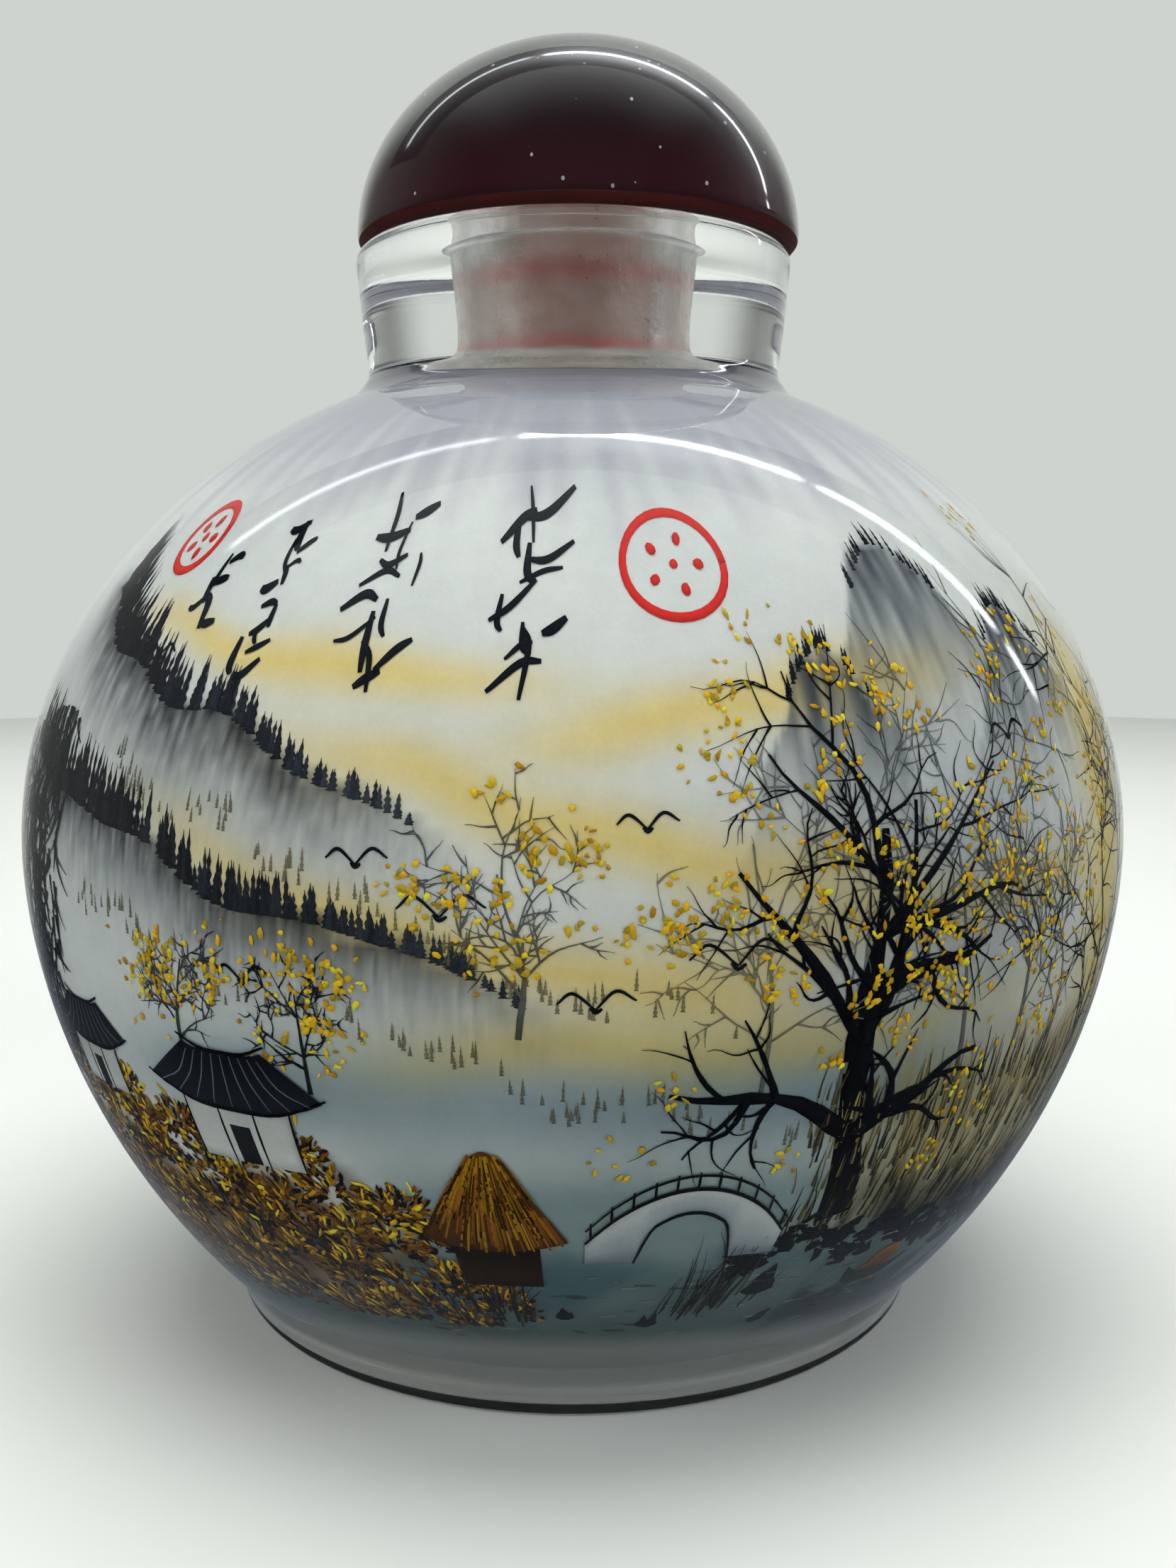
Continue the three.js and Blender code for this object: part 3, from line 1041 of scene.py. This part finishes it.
class SNUFF_OT_trees(bpy.types.Operator):
    """The big bare tree, the slender trees at the edge, and their leaves"""

    bl_idname = "snuff.trees"
    bl_label = "Trees and leaves"

    def execute(self, context):
        c = palette(context)
        far, near, leaves = Brush(0.100, 21), Brush(0.122, 22), Brush(0.142, 23)
        # faint trees in the haze, then the dark ones in front
        for k, (x, z, h, w, tone) in enumerate(
            (
                (9.0, 20.5, 12, 0.26, 0.42), (24.5, 19.5, 15, 0.32, 0.5), (28.5, 19, 12, 0.26, 0.42),
                (13.0, 20, 15, 0.3, 0.38), (20.5, 20, 17, 0.3, 0.45), (-62, 18, 15, 0.3, 0.5),
                (70, 19, 14, 0.3, 0.5), (-84, 19, 13, 0.3, 0.45), (88, 19, 15, 0.3, 0.45)
            )
        ):
            grown_tree(
                far, leaves, c, x, z, h, 0.03 * (-1) ** k, w, 200 + k, tone=tone, clusters=9,
                fork=(6, 3, 2), bend=0.2
            )
        grown_tree(
            near, leaves, c, 15.5, 13.5, 19.5, 0.10, 2.2, 307, levels=3, clusters=40, fork=(8, 4, 3),
            bend=0.6
        )
        for k, (x, z, h, w) in enumerate(
            (
                (31.5, 16, 17, 0.5), (35.0, 15, 21, 0.55), (-77, 15.5, 19, 0.8), (58, 15, 18, 0.7),
                (97, 16, 17, 0.6)
            )
        ):
            grown_tree(
                near, leaves, c, x, z, h, 0.05 * (-1) ** k, w, 400 + k, clusters=26, fork=(8, 4, 2),
                bend=0.3
            )
        for k, (x, z, h) in enumerate(((-2.2, 24.0, 7.5), (-20, 21, 5.5), (-12.5, 20.6, 5.0))):
            grown_tree(
                far, leaves, c, x, z, h, 0.02, 0.3, 500 + k, tone=0.6 + 0.15 * k, clusters=16,
                fork=(8, 3, 2), bend=0.25
            )
        far.finish("hazy_trees")
        near.finish("dark_trees")
        leaves.finish("yellow_leaves")
        return {"FINISHED"}


class SNUFF_OT_meadow(bpy.types.Operator):
    """Grass strokes, reeds and bamboo"""

    bl_idname = "snuff.meadow"
    bl_label = "Meadow and reeds"

    def execute(self, context):
        c = palette(context)
        brush = Brush(0.104, 31)
        rng = brush.rng
        for left, right, n in ((12, 55, 1050), (-93, -64, 450)):
            x, z = rng.uniform(left, right, n), rng.uniform(12.0, 20.5, n)
            dark = ease(18, 12.5, z)[:, None]
            tone = tints(
                rng, n, [c["grass"], c["grass"] * 0.75, c["grass"] * 0.5, c["ink"] + 0.12], 0.1
            ) * (1 - 0.45 * dark)
            blades(
                brush, x, z, rng.uniform(0.9, 2.6, n), rng.uniform(0.07, 0.2, n),
                rng.normal(0, 0.22, n), tone
            )
        # a dark ragged bank along the water
        x = np.r_[rng.uniform(10, 56, 420), rng.uniform(-92, -62, 220)]
        z = 11.6 + 0.7 * cloud(x, x * 0, 15, 6) + rng.normal(0, 0.4, len(x))
        brush.dabs(
            x, z, rng.uniform(0.7, 1.7, len(x)), rng.uniform(0.3, 0.7, len(x)),
            rng.normal(0, 0.25, len(x)), tints(rng, len(x), [c["ink"], c["ink"] * 1.3]), 7, 0.4
        )
        # reeds in the shallows
        reeds = Brush(0.160, 32)
        for x0, z0, n in ((9.5, 8.6, 44), (-6.5, 8.2, 26), (38, 9, 40), (-70, 9, 36), (74, 9, 30)):
            x, z = x0 + reeds.rng.normal(0, 1.5, n), z0 + reeds.rng.normal(0, 0.4, n)
            blades(
                reeds, x, z, reeds.rng.uniform(1.6, 4.4, n), reeds.rng.uniform(0.1, 0.2, n),
                reeds.rng.normal(0.2, 0.7, n),
                tints(reeds.rng, n, [c["ink"], c["ink"] * 1.6, c["grass"] * 0.5]), 6
            )
        # bamboo at the left edge: jointed canes with fans of drooping pointed leaves
        for x0, foot, top in ((-33.6, 15, 37), (-36.2, 14, 34), (-39.5, 15, 36), (45, 14, 33)):
            line(
                reeds, [[x0, foot], [x0 + 0.5, (foot + top) / 2], [x0 + 1.6, top]], 0.42,
                c["ink"] * 1.2, 14
            )
            n = 210
            z = reeds.rng.uniform(foot + 5, top, n)
            x = x0 + 0.5 + 1.1 * ((z - foot) / (top - foot)) ** 2 + reeds.rng.normal(0, 1.25, n)
            blades(
                reeds, x, z, -reeds.rng.uniform(1.0, 2.4, n), reeds.rng.uniform(0.22, 0.42, n),
                reeds.rng.normal(0, 1.1, n),
                tints(reeds.rng, n, [c["ink"], c["ink"] * 0.8, c["teal"] * 0.45]), 5
            )
        brush.finish("meadow_strokes")
        reeds.finish("reeds_and_bamboo")
        return {"FINISHED"}


class SNUFF_OT_bushes(bpy.types.Operator):
    """Golden bushes built from fans of small touches, dark below and bright on top"""

    bl_idname = "snuff.bushes"
    bl_label = "Golden bushes"

    def execute(self, context):
        c = palette(context)
        brush = Brush(0.128, 41)
        rng = brush.rng
        heads = []
        for left, right, top in ((-46, -5, 19.5), (60, 70, 15.5), (-60, -52, 15.0)):
            x, z = np.meshgrid(np.arange(left, right, 2.7), np.arange(8.6, 21, 2.2))
            x, z = x + rng.uniform(-1, 1, x.shape), z + rng.uniform(-0.8, 0.8, x.shape)
            keep = z < top - 3.0 * ease(right - 12, right, x) + 1.2 * cloud(x, x * 0, 16, 8)
            heads += list(zip(x[keep], z[keep]))
        heads.sort(key=lambda head: -head[1])
        mixes = [
            [c["ink"], c["brown"] * 0.4], [c["ink"], c["brown"] * 0.6], [c["brown"], c["gold"] * 0.6],
            [c["gold"] * 0.8, c["brown"] * 1.15], [c["gold"], c["leaf"]]
        ]
        for k, (x0, z0) in enumerate(heads):
            glow = rng.uniform(0.6, 1.25)
            for depth, share in enumerate((26, 26, 22, int(19 * glow), int(11 * glow))):
                a, d = rng.uniform(
                    -0.4, math.pi + 0.4, share
                ), rng.uniform(0.1, 1, share) ** 0.65 * rng.uniform(1.7, 2.3)
                x, z = x0 + d * np.cos(a) * 1.1, np.clip(
                    z0 + d * np.sin(a) * 0.85 - 0.8 + 0.12 * depth, 7.6, None
                )
                brush.lift = 0.122 + 0.003 * depth + 0.012 * k / len(heads)
                brush.dabs(
                    x, z, rng.uniform(0.4, 0.95, share), rng.uniform(0.15, 0.30, share),
                    a + rng.normal(0, 0.4, share), tints(rng, share, mixes[depth], 0.1), 5, 0.3
                )
        brush.finish("golden_bushes")
        return {"FINISHED"}


class SNUFF_OT_buildings(bpy.types.Operator):
    """Two tiled pavilions, a thatched hut, an arched bridge and a covered boat"""

    bl_idname = "snuff.buildings"
    bl_label = "Pavilions, bridge and boat"

    def execute(self, context):
        c = palette(context)
        brush = Brush(0.165, 51)
        for x, z, w, h in (
            (-17.5, 16.2, 9.6, 6.2), (-29.0, 18.2, 7.0, 4.8), (65, 16, 8, 5.4), (-66, 18, 7, 4.8)
        ):
            self.pavilion(brush, c, x, z, w, h)
        self.thatch(brush, c, -4.2, 10.4, 7.4, 8.0)
        self.bridge(brush, c, 6.6, 13.2, 11.5, 3.0)
        self.boat(brush, c, 24.0, 9.0, 6.4)
        self.boat(brush, c, 82.0, 9.0, 5.0)
        brush.finish("pavilions_bridge_boat")
        return {"FINISHED"}

    def pavilion(self, b, c, x, z, w, h):
        """White walls under a hipped roof whose eaves turn up at the corners."""
        white, dark = c["sky"] * 0.98, c["ink"]
        t = np.linspace(-1, 1, 13)
        b.lift = 0.165
        b.patch(span(x + t * w * 0.36, z), span(x + t * w * 0.36, z + h * 0.5), 6, white, white * 0.85)
        b.lift = 0.182
        for k in (-0.36, -0.12, 0.12, 0.36):
            line(
                b, [[x + k * w, z - 0.1], [x + k * w, z + h * 0.25], [x + k * w, z + h * 0.52]], 0.16,
                dark, 3
            )
        b.patch(span(x + t * w * 0.07, z), span(x + t * w * 0.07, z + h * 0.33), 4, dark + 0.06)
        eave = z + h * (0.48 + 0.16 * np.abs(t) ** 3)
        ridge = z + h * (0.94 + 0.05 * np.abs(t) ** 3)
        b.lift = 0.199
        b.patch(span(x + t * w * 0.58, eave), span(x + t * w * 0.26, ridge), 7, dark * 1.5 + 0.02, dark)
        b.lift = 0.216
        for k in np.linspace(-0.9, 0.9, 9):
            line(
                b,
                [
                    [x + k * w * 0.56, z + h * (0.5 + 0.14 * abs(k) ** 3)],
                    [x + k * w * 0.37, z + h * 0.72], [x + k * w * 0.26, z + h * 0.93]
                ],
                0.07, c["haze"] * 0.85, 3
            )
        line(b, span(x + t[::3] * w * 0.6, z + h * (0.47 + 0.2 * np.abs(t[::3]) ** 3)), 0.2, dark * 0.6, 4)
        line(b, span(x + t[::3] * w * 0.29, z + h * (0.95 + 0.1 * np.abs(t[::3]) ** 3)), 0.2, dark * 0.6, 3)

    def thatch(self, b, c, x, z, w, h):
        """A hut under a deep thatch: straw strokes fan down from the peak over a brown ground."""
        t = np.linspace(-1, 1, 13)
        b.lift = 0.165
        b.patch(
            span(x + t * w * 0.34, z), span(x + t * w * 0.34, z + h * 0.45), 6, c["brown"] * 0.5,
            c["ink"]
        )
        b.lift = 0.182
        b.patch(
            span(x + t * w * 0.56, z + h * (0.36 - 0.08 * (1 - t**2))),
            span(x + t * w * 0.10, z + h * (1.0 - 0.06 * t**2)), 9, c["brown"] * 0.75, c["brown"]
        )
        b.lift = 0.199
        n = 260
        u, s = b.rng.uniform(-1, 1, n), b.rng.uniform(0.0, 0.7, n)
        low = span(x + u * w * 0.57, z + h * (0.33 - 0.08 * (1 - u**2)))
        high = span(x + u * w * 0.1, z + h * 0.98)
        start, stop = low + (high - low) * s[:, None], low + (high - low) * (s + 0.3)[:, None]
        k = np.linspace(0, 1, 4)[None, :, None]
        b.ribbons(
            start[:, None] + (stop - start)[:, None] * k, b.rng.uniform(0.08, 0.17, (n, 1)),
            tints(b.rng, n, [c["brown"] * 0.6, c["brown"] * 1.35, c["gold"] * 0.72], 0.1)[:, None]
        )

    def bridge(self, b, c, x, z, w, rise):
        """A humped stone bridge: the deck is an arch, and the opening under it a smaller one."""
        t = np.linspace(-1, 1, 21)
        deck = z + rise * (1 - t**2)
        b.lift = 0.170
        b.patch(
            span(x + t * w / 2, z - 1.3 + np.clip(1 - (t / 0.5) ** 2, 0, None) ** 0.5 * rise * 0.98),
            span(x + t * w / 2, deck), 4, c["haze"] * 1.15, c["sky"] * 0.92
        )
        b.lift = 0.188
        ends = np.linspace(-1, 1, 9)
        line(b, span(x + ends * w / 2, z + rise * (1 - ends**2)), 0.22, c["ink"], 3)
        line(b, span(x + ends * w / 2, z + 0.75 + rise * (1 - ends**2)), 0.15, c["ink"], 3)
        under = np.linspace(-0.5, 0.5, 9)
        line(
            b,
            span(
                x + under * w / 2,
                z - 1.3 + np.clip(1 - (under / 0.5) ** 2, 0, None) ** 0.5 * rise * 0.98
            ),
            0.2, c["ink"], 3
        )
        for k in np.linspace(-0.95, 0.95, 11):
            zz = z + rise * (1 - k * k)
            line(
                b, [[x + k * w / 2, zz], [x + k * w / 2, zz + 0.4], [x + k * w / 2, zz + 0.95]], 0.15,
                c["ink"], 2
            )

    def boat(self, b, c, x, z, w):
        """A low covered boat: a crescent hull, a reed cover and a mooring pole, over its own reflection."""
        t = np.linspace(-1, 1, 15)
        b.lift = 0.150
        b.dabs(
            x + b.rng.uniform(-w / 2, w / 2, 26), z - b.rng.uniform(0.6, 1.3, 26),
            b.rng.uniform(0.6, 1.6, 26), 0.12, np.zeros(26), c["teal"] * 0.6, 6
        )
        b.lift = 0.165
        b.patch(
            span(x + t * w * 0.42, z - 0.45 + 0.55 * t**4),
            span(x + t * w / 2, z + 0.2 + 0.55 * np.abs(t) ** 2.4), 4, c["ink"], c["ink"] * 1.6
        )
        b.lift = 0.182
        b.patch(
            span(x + t * w * 0.24, z + 0.25),
            span(x + t * w * 0.24, z + 0.3 + 1.25 * np.sqrt(np.clip(1 - t**2, 0, 1))), 4, c["brown"],
            c["brown"] * 1.5
        )
        b.lift = 0.199
        for k in np.linspace(-0.8, 0.8, 6):
            top = 0.3 + 1.2 * math.sqrt(1 - k * k)
            line(
                b,
                [
                    [x + k * w * 0.24, z + 0.25], [x + k * w * 0.24, z + top / 2 + 0.15],
                    [x + k * w * 0.24, z + top]
                ],
                0.08, c["ink"], 2
            )
        line(
            b, [[x + w * 0.36, z - 0.9], [x + w * 0.4, z + 1.6], [x + w * 0.42, z + 3.4]], 0.12,
            c["ink"], 5
        )


class SNUFF_OT_water(bpy.types.Operator):
    """Rocks and ripples in the water, and birds over it"""

    bl_idname = "snuff.water"
    bl_label = "Rocks, ripples and birds"

    def execute(self, context):
        c = palette(context)
        brush = Brush(0.108, 61)
        rng = brush.rng
        t = np.linspace(-1, 1, 9)
        for x, z, w, h in (
            (6.2, 7.6, 2.0, 0.9), (13.5, 9.3, 2.6, 1.5), (17.0, 7.2, 1.7, 0.9), (20.5, 10.6, 1.6, 0.7),
            (30.5, 9.8, 2.6, 1.2), (34, 8.0, 2.0, 0.9), (-0.5, 8.2, 1.5, 0.6), (-44, 9, 2.6, 1.2),
            (50, 9, 2.4, 1.1), (-58, 8, 2, 0.8), (-80, 9, 2.6, 1.2), (92, 8.4, 2.2, 1.0)
        ):
            crag = np.abs(rng.normal(0.7, 0.25, 9)) * (1 - t**2)
            brush.patch(
                span(x + t * w / 2, z - 0.12 * w * (1 - t**2)),
                span(x + t * w / 2 * 0.96, z + 0.02 + h * crag), 3, c["ink"] * 0.9, c["ink"] * 1.4
            )
        n = 360
        x = rng.uniform(-97, 97, n)
        z = rng.uniform(6.6, 11.4, n)
        shade = wash(x, z, c)
        tone = shade + (
            np.where(rng.random((n, 1)) < 0.5, c["sky"], c["ink"]) - shade
        ) * rng.uniform(0.12, 0.4, (n, 1))
        brush.dabs(
            x, z, rng.uniform(0.8, 2.4, n), rng.uniform(0.06, 0.13, n), rng.normal(0, 0.06, n), tone, 6,
            0.2
        )
        for x, z, s in (
            (-9.5, 31.5, 0.85), (-5.6, 29.4, 1.15), (3.5, 33.2, 0.8), (7.5, 27.2, 1.3),
            (-15.5, 25.8, 0.9), (1.2, 25.4, 1.0), (24.0, 36.2, 0.8), (-24.0, 39.8, 0.7), (60, 32, 1.1),
            (66, 30, 0.8), (-70, 30, 1.0), (90, 33, 0.9)
        ):
            line(
                brush, [[x - 1.7 * s, z + 0.25 * s], [x - 1.0 * s, z + 0.75 * s], [x, z]], 0.16,
                c["ink"] * 1.3, 5
            )
            line(
                brush, [[x, z], [x + 0.9 * s, z + 0.85 * s], [x + 1.8 * s, z + 0.4 * s]], 0.16,
                c["ink"] * 1.3, 5
            )
            line(
                brush, [[x - 0.25 * s, z + 0.1 * s], [x, z - 0.12 * s], [x + 0.3 * s, z + 0.05]], 0.2,
                c["ink"] * 1.3, 3
            )
        brush.finish("rocks_ripples_birds")
        return {"FINISHED"}


class SNUFF_OT_inscription(bpy.types.Operator):
    """Columns of loose brush marks that are no letters, and two plain red seals"""

    bl_idname = "snuff.inscription"
    bl_label = "Marks and seals"

    def execute(self, context):
        c = palette(context)
        brush = Brush(0.106, 71)
        rng = brush.rng
        # (X of the column, its top, how tall a group of marks is, groups, width)
        for x, top, tall, groups, wide in (
            (-2.4, 47.6, 4.3, 2, 5.4), (-10.0, 47.2, 4.2, 2, 4.6), (-17.2, 46.4, 3.6, 2, 2.9),
            (-22.0, 44.8, 3.8, 1, 2.9)
        ):
            for k in range(groups):
                zc = top - tall * (k + 0.5)
                for j in range(7):
                    a = math.radians(rng.uniform(8, 38) + (j % 2) * 80)
                    size = wide * rng.uniform(0.26, 0.62)
                    mx, mz = x + rng.uniform(-0.32, 0.32) * wide, zc + (j - 3) * tall * 0.125
                    dx, dz = math.cos(a) * size / 2, math.sin(a) * size / 2
                    sway = rng.uniform(-0.25, 0.25) * size
                    line(
                        brush, [[mx - dx, mz - dz], [mx + sway * 0.5, mz + sway], [mx + dx, mz + dz]],
                        rng.uniform(0.2, 0.5), c["ink"] * 1.4, 6
                    )
        a = np.linspace(0, 2 * math.pi, 33)
        for x, z, rx, rz in ((5.9, 44.3, 2.9, 2.3), (-26.4, 45.3, 1.9, 1.6)):
            brush.ribbons(
                span(x + rx * np.cos(a), z + rz * np.sin(a))[None], np.full((1, 33), 0.42), c["seal"]
            )
            p = np.linspace(0, 2 * math.pi, 6)[:-1]
            brush.dabs(x + rx * 0.5 * np.cos(p), z + rz * 0.5 * np.sin(p), 0.62, 0.5, p, c["seal"], 8, 0.1)
            brush.dabs(np.array([x]), np.array([z]), 0.5, 0.45, np.zeros(1), c["seal"], 8, 0.1)
        brush.finish("brush_marks_and_seals", 0.06)
        return {"FINISHED"}


# ---------------------------------------------------------------- stage


class SNUFF_OT_stage(bpy.types.Operator):
    """Plain pale floor, soft lights, a curved strip light and the camera"""

    bl_idname = "snuff.stage"
    bl_label = "Stage"

    def execute(self, context):
        s = context.scene.stage_settings
        scene = context.scene
        scene.view_settings.view_transform = "Standard"
        self.floor(s)
        self.camera(context, s)
        self.world(scene)
        target = Vector((0, 0, 0.035))
        self.area("Overhead softbox", (0.0, 0.05, 0.42), target, (0.42, 0.42), 4.0, (1, 0.99, 0.97))
        self.area("Left softbox", (-0.38, -0.16, 0.20), target, (0.22, 0.34), 1.3, (0.95, 0.98, 1))
        self.area("Right softbox", (0.36, -0.22, 0.20), target, (0.20, 0.30), 1.2, (0.96, 0.98, 1))
        self.strip_light(s)
        return {"FINISHED"}

    def floor(self, s):
        r = np.array([0.0, 150, 300, 480])
        verts, faces, _ = turned(np.stack([r, np.zeros(4)], 1), full_turn(96))
        mesh = bpy.data.meshes.new("floor")
        mesh.from_pydata((verts * MM).tolist(), [], faces)
        mesh.flip_normals()
        floor = bpy.data.objects.new("floor", mesh)
        bpy.context.scene.collection.objects.link(floor)
        mat, nodes, links, shader = finish("Plain floor")
        shader.inputs["Base Color"].default_value = (*linear(np.array(s.floor_colour[:])), 1)
        shader.inputs["Roughness"].default_value = 0.85
        mesh.materials.append(mat)
        floor.visible_glossy = False

    def camera(self, context, s):
        data = bpy.data.cameras.new("Camera")
        data.sensor_width = 36
        data.lens = 36 * 2094.3 / 2212
        data.clip_start = 0.005
        camera = bpy.data.objects.new("Camera", data)
        camera.location = (s.camera_side, -s.camera_distance, s.camera_height)
        camera.rotation_euler = (math.pi / 2 - s.camera_pitch, 0, 0)
        context.scene.collection.objects.link(camera)
        context.scene.camera = camera

    def world(self, scene):
        world = bpy.data.worlds.new("Studio")
        world.use_nodes = True
        scene.world = world
        nodes, links = world.node_tree.nodes, world.node_tree.links
        coords = nodes.new("ShaderNodeTexCoord")
        split = nodes.new("ShaderNodeSeparateXYZ")
        ramp = nodes.new("ShaderNodeValToRGB")
        links.new(coords.outputs["Generated"], split.inputs[0])
        up = nodes.new("ShaderNodeMapRange")
        up.inputs["From Min"].default_value = -1
        links.new(split.outputs["Z"], up.inputs["Value"])
        links.new(up.outputs["Result"], ramp.inputs["Fac"])
        ramp.color_ramp.elements[0].position = 0.36
        ramp.color_ramp.elements[0].color = (0.16, 0.18, 0.20, 1)
        ramp.color_ramp.elements[1].position = 0.44
        ramp.color_ramp.elements[1].color = (0.62, 0.65, 0.62, 1)
        # darker in front for reflections, and darker to the sides for what the glass bends into view
        front = smooth_range(nodes, links, split.outputs["Y"], -0.6, 0.35, 0.05, 1.0)
        only = nodes.new("ShaderNodeMix")
        only.data_type = "FLOAT"
        only.inputs["A"].default_value = 1.0
        links.new(nodes.new("ShaderNodeLightPath").outputs["Is Glossy Ray"], only.inputs["Factor"])
        links.new(front, only.inputs["B"])
        shade = nodes.new("ShaderNodeMix")
        shade.data_type = "RGBA"
        shade.blend_type = "MULTIPLY"
        shade.inputs["Factor"].default_value = 1
        links.new(ramp.outputs["Color"], shade.inputs["A"])
        links.new(only.outputs["Result"], shade.inputs["B"])
        links.new(shade.outputs["Result"], nodes["Background"].inputs["Color"])
        wide = maths(nodes, links, "ABSOLUTE", split.outputs["X"])
        links.new(
            smooth_range(nodes, links, wide, 0.42, 0.72, 1.0, 0.22),
            nodes["Background"].inputs["Strength"]
        )

    def area(self, name, place, target, size, power, tint):
        data = bpy.data.lights.new(name, "AREA")
        data.shape = "RECTANGLE"
        data.size, data.size_y = size
        data.energy = power
        data.color = tint
        lamp = bpy.data.objects.new(name, data)
        lamp.location = place
        lamp.rotation_euler = (target - Vector(place)).to_track_quat("-Z", "Y").to_euler()
        lamp.visible_glossy = False
        bpy.context.scene.collection.objects.link(lamp)

    def strip_light(self, s):
        """A curved strip of light over the bottle: a band round the line of sight, 106 degrees from it."""
        centre = np.array([0, 0, 0.036])
        sight = np.array([s.camera_side, -s.camera_distance, s.camera_height]) - centre
        sight /= np.linalg.norm(sight)
        right = np.cross([0, 0, 1.0], sight)
        right /= np.linalg.norm(right)
        up = np.cross(sight, right)
        roll, tilt = np.meshgrid(np.linspace(-52, 80, 133), np.linspace(94, 114, 41))
        a, t = np.radians(roll)[..., None], np.radians(tilt)[..., None]
        verts = centre + 0.3 * (np.cos(t) * sight + np.sin(t) * (np.sin(a) * right + np.cos(a) * up))
        k = (np.arange(40)[:, None] * 133 + np.arange(132)).ravel()
        mesh = bpy.data.meshes.new("strip_light")
        mesh.from_pydata(
            verts.reshape(-1, 3).tolist(), [], np.stack([k, k + 1, k + 134, k + 133], 1).tolist()
        )
        lit = sum(
            w * ease(p - 1.5, p + 1, roll) * (1 - ease(q - 2, q + 1, roll)) for p, q,
            w in ((-46, -9, 0.25), (-6, 29, 1.0), (32, 62, 0.8), (65, 73, 0.6))
        )
        glow = 22 * np.exp(
            -(((tilt - 106.5) / 0.8) ** 2)
        ) * lit + 1.8 * np.exp(-(((tilt - 104) / 4.0) ** 2)) * np.exp(-(((roll - 10) / 20) ** 2))
        tone = glow.reshape(-1, 1) * np.array([[0.93, 0.97, 1.0, 1.0]])
        mesh.attributes.new("glow", "FLOAT_COLOR", "POINT").data.foreach_set(
            "color", tone.astype(np.float32).ravel()
        )
        strip = bpy.data.objects.new("strip_light", mesh)
        bpy.context.scene.collection.objects.link(strip)
        mat, nodes, links, shader = finish("Strip light")
        shader.inputs["Base Color"].default_value = (0, 0, 0, 1)
        own = nodes.new("ShaderNodeAttribute")
        own.attribute_name = "glow"
        links.new(own.outputs["Color"], shader.inputs["Emission Color"])
        shader.inputs["Emission Strength"].default_value = 1
        shader.inputs["Specular IOR Level"].default_value = 0
        mesh.materials.append(mat)
        strip.visible_camera = False


class SNUFF_PT_panel(bpy.types.Panel):
    """Lists the bottle's pieces in the order they are made"""

    bl_idname = "SNUFF_PT_panel"
    bl_label = "Snuff Bottle"
    bl_space_type = "VIEW_3D"
    bl_region_type = "UI"
    bl_category = "Snuff Bottle"

    def draw(self, context):
        column = self.layout.column()
        for name, group in GROUPS.items():
            for prop in group.__annotations__:
                column.prop(getattr(context.scene, name), prop)
        for op in OPERATORS:
            column.operator(op.bl_idname)


GROUPS = {
    "bottle_sizes": BottleSizes, "stopper_sizes": StopperSizes, "paint_colours": PaintColours,
    "stage_settings": StageSettings
}
OPERATORS = (
    SNUFF_OT_stage, SNUFF_OT_bottle, SNUFF_OT_cap, SNUFF_OT_plug, SNUFF_OT_wash, SNUFF_OT_hills,
    SNUFF_OT_trees,
    SNUFF_OT_meadow, SNUFF_OT_bushes, SNUFF_OT_buildings, SNUFF_OT_water, SNUFF_OT_inscription,
)


def register():
    for cls in (*GROUPS.values(), *OPERATORS, SNUFF_PT_panel):
        bpy.utils.register_class(cls)
    for name, group in GROUPS.items():
        setattr(bpy.types.Scene, name, bpy.props.PointerProperty(type=group))


def unregister():
    for name in GROUPS:
        delattr(bpy.types.Scene, name)
    for cls in reversed((*GROUPS.values(), *OPERATORS, SNUFF_PT_panel)):
        bpy.utils.unregister_class(cls)


def main():
    register()
    for op in OPERATORS:
        group, name = op.bl_idname.split(".")
        getattr(getattr(bpy.ops, group), name)()


if __name__ == "__main__":
    main()
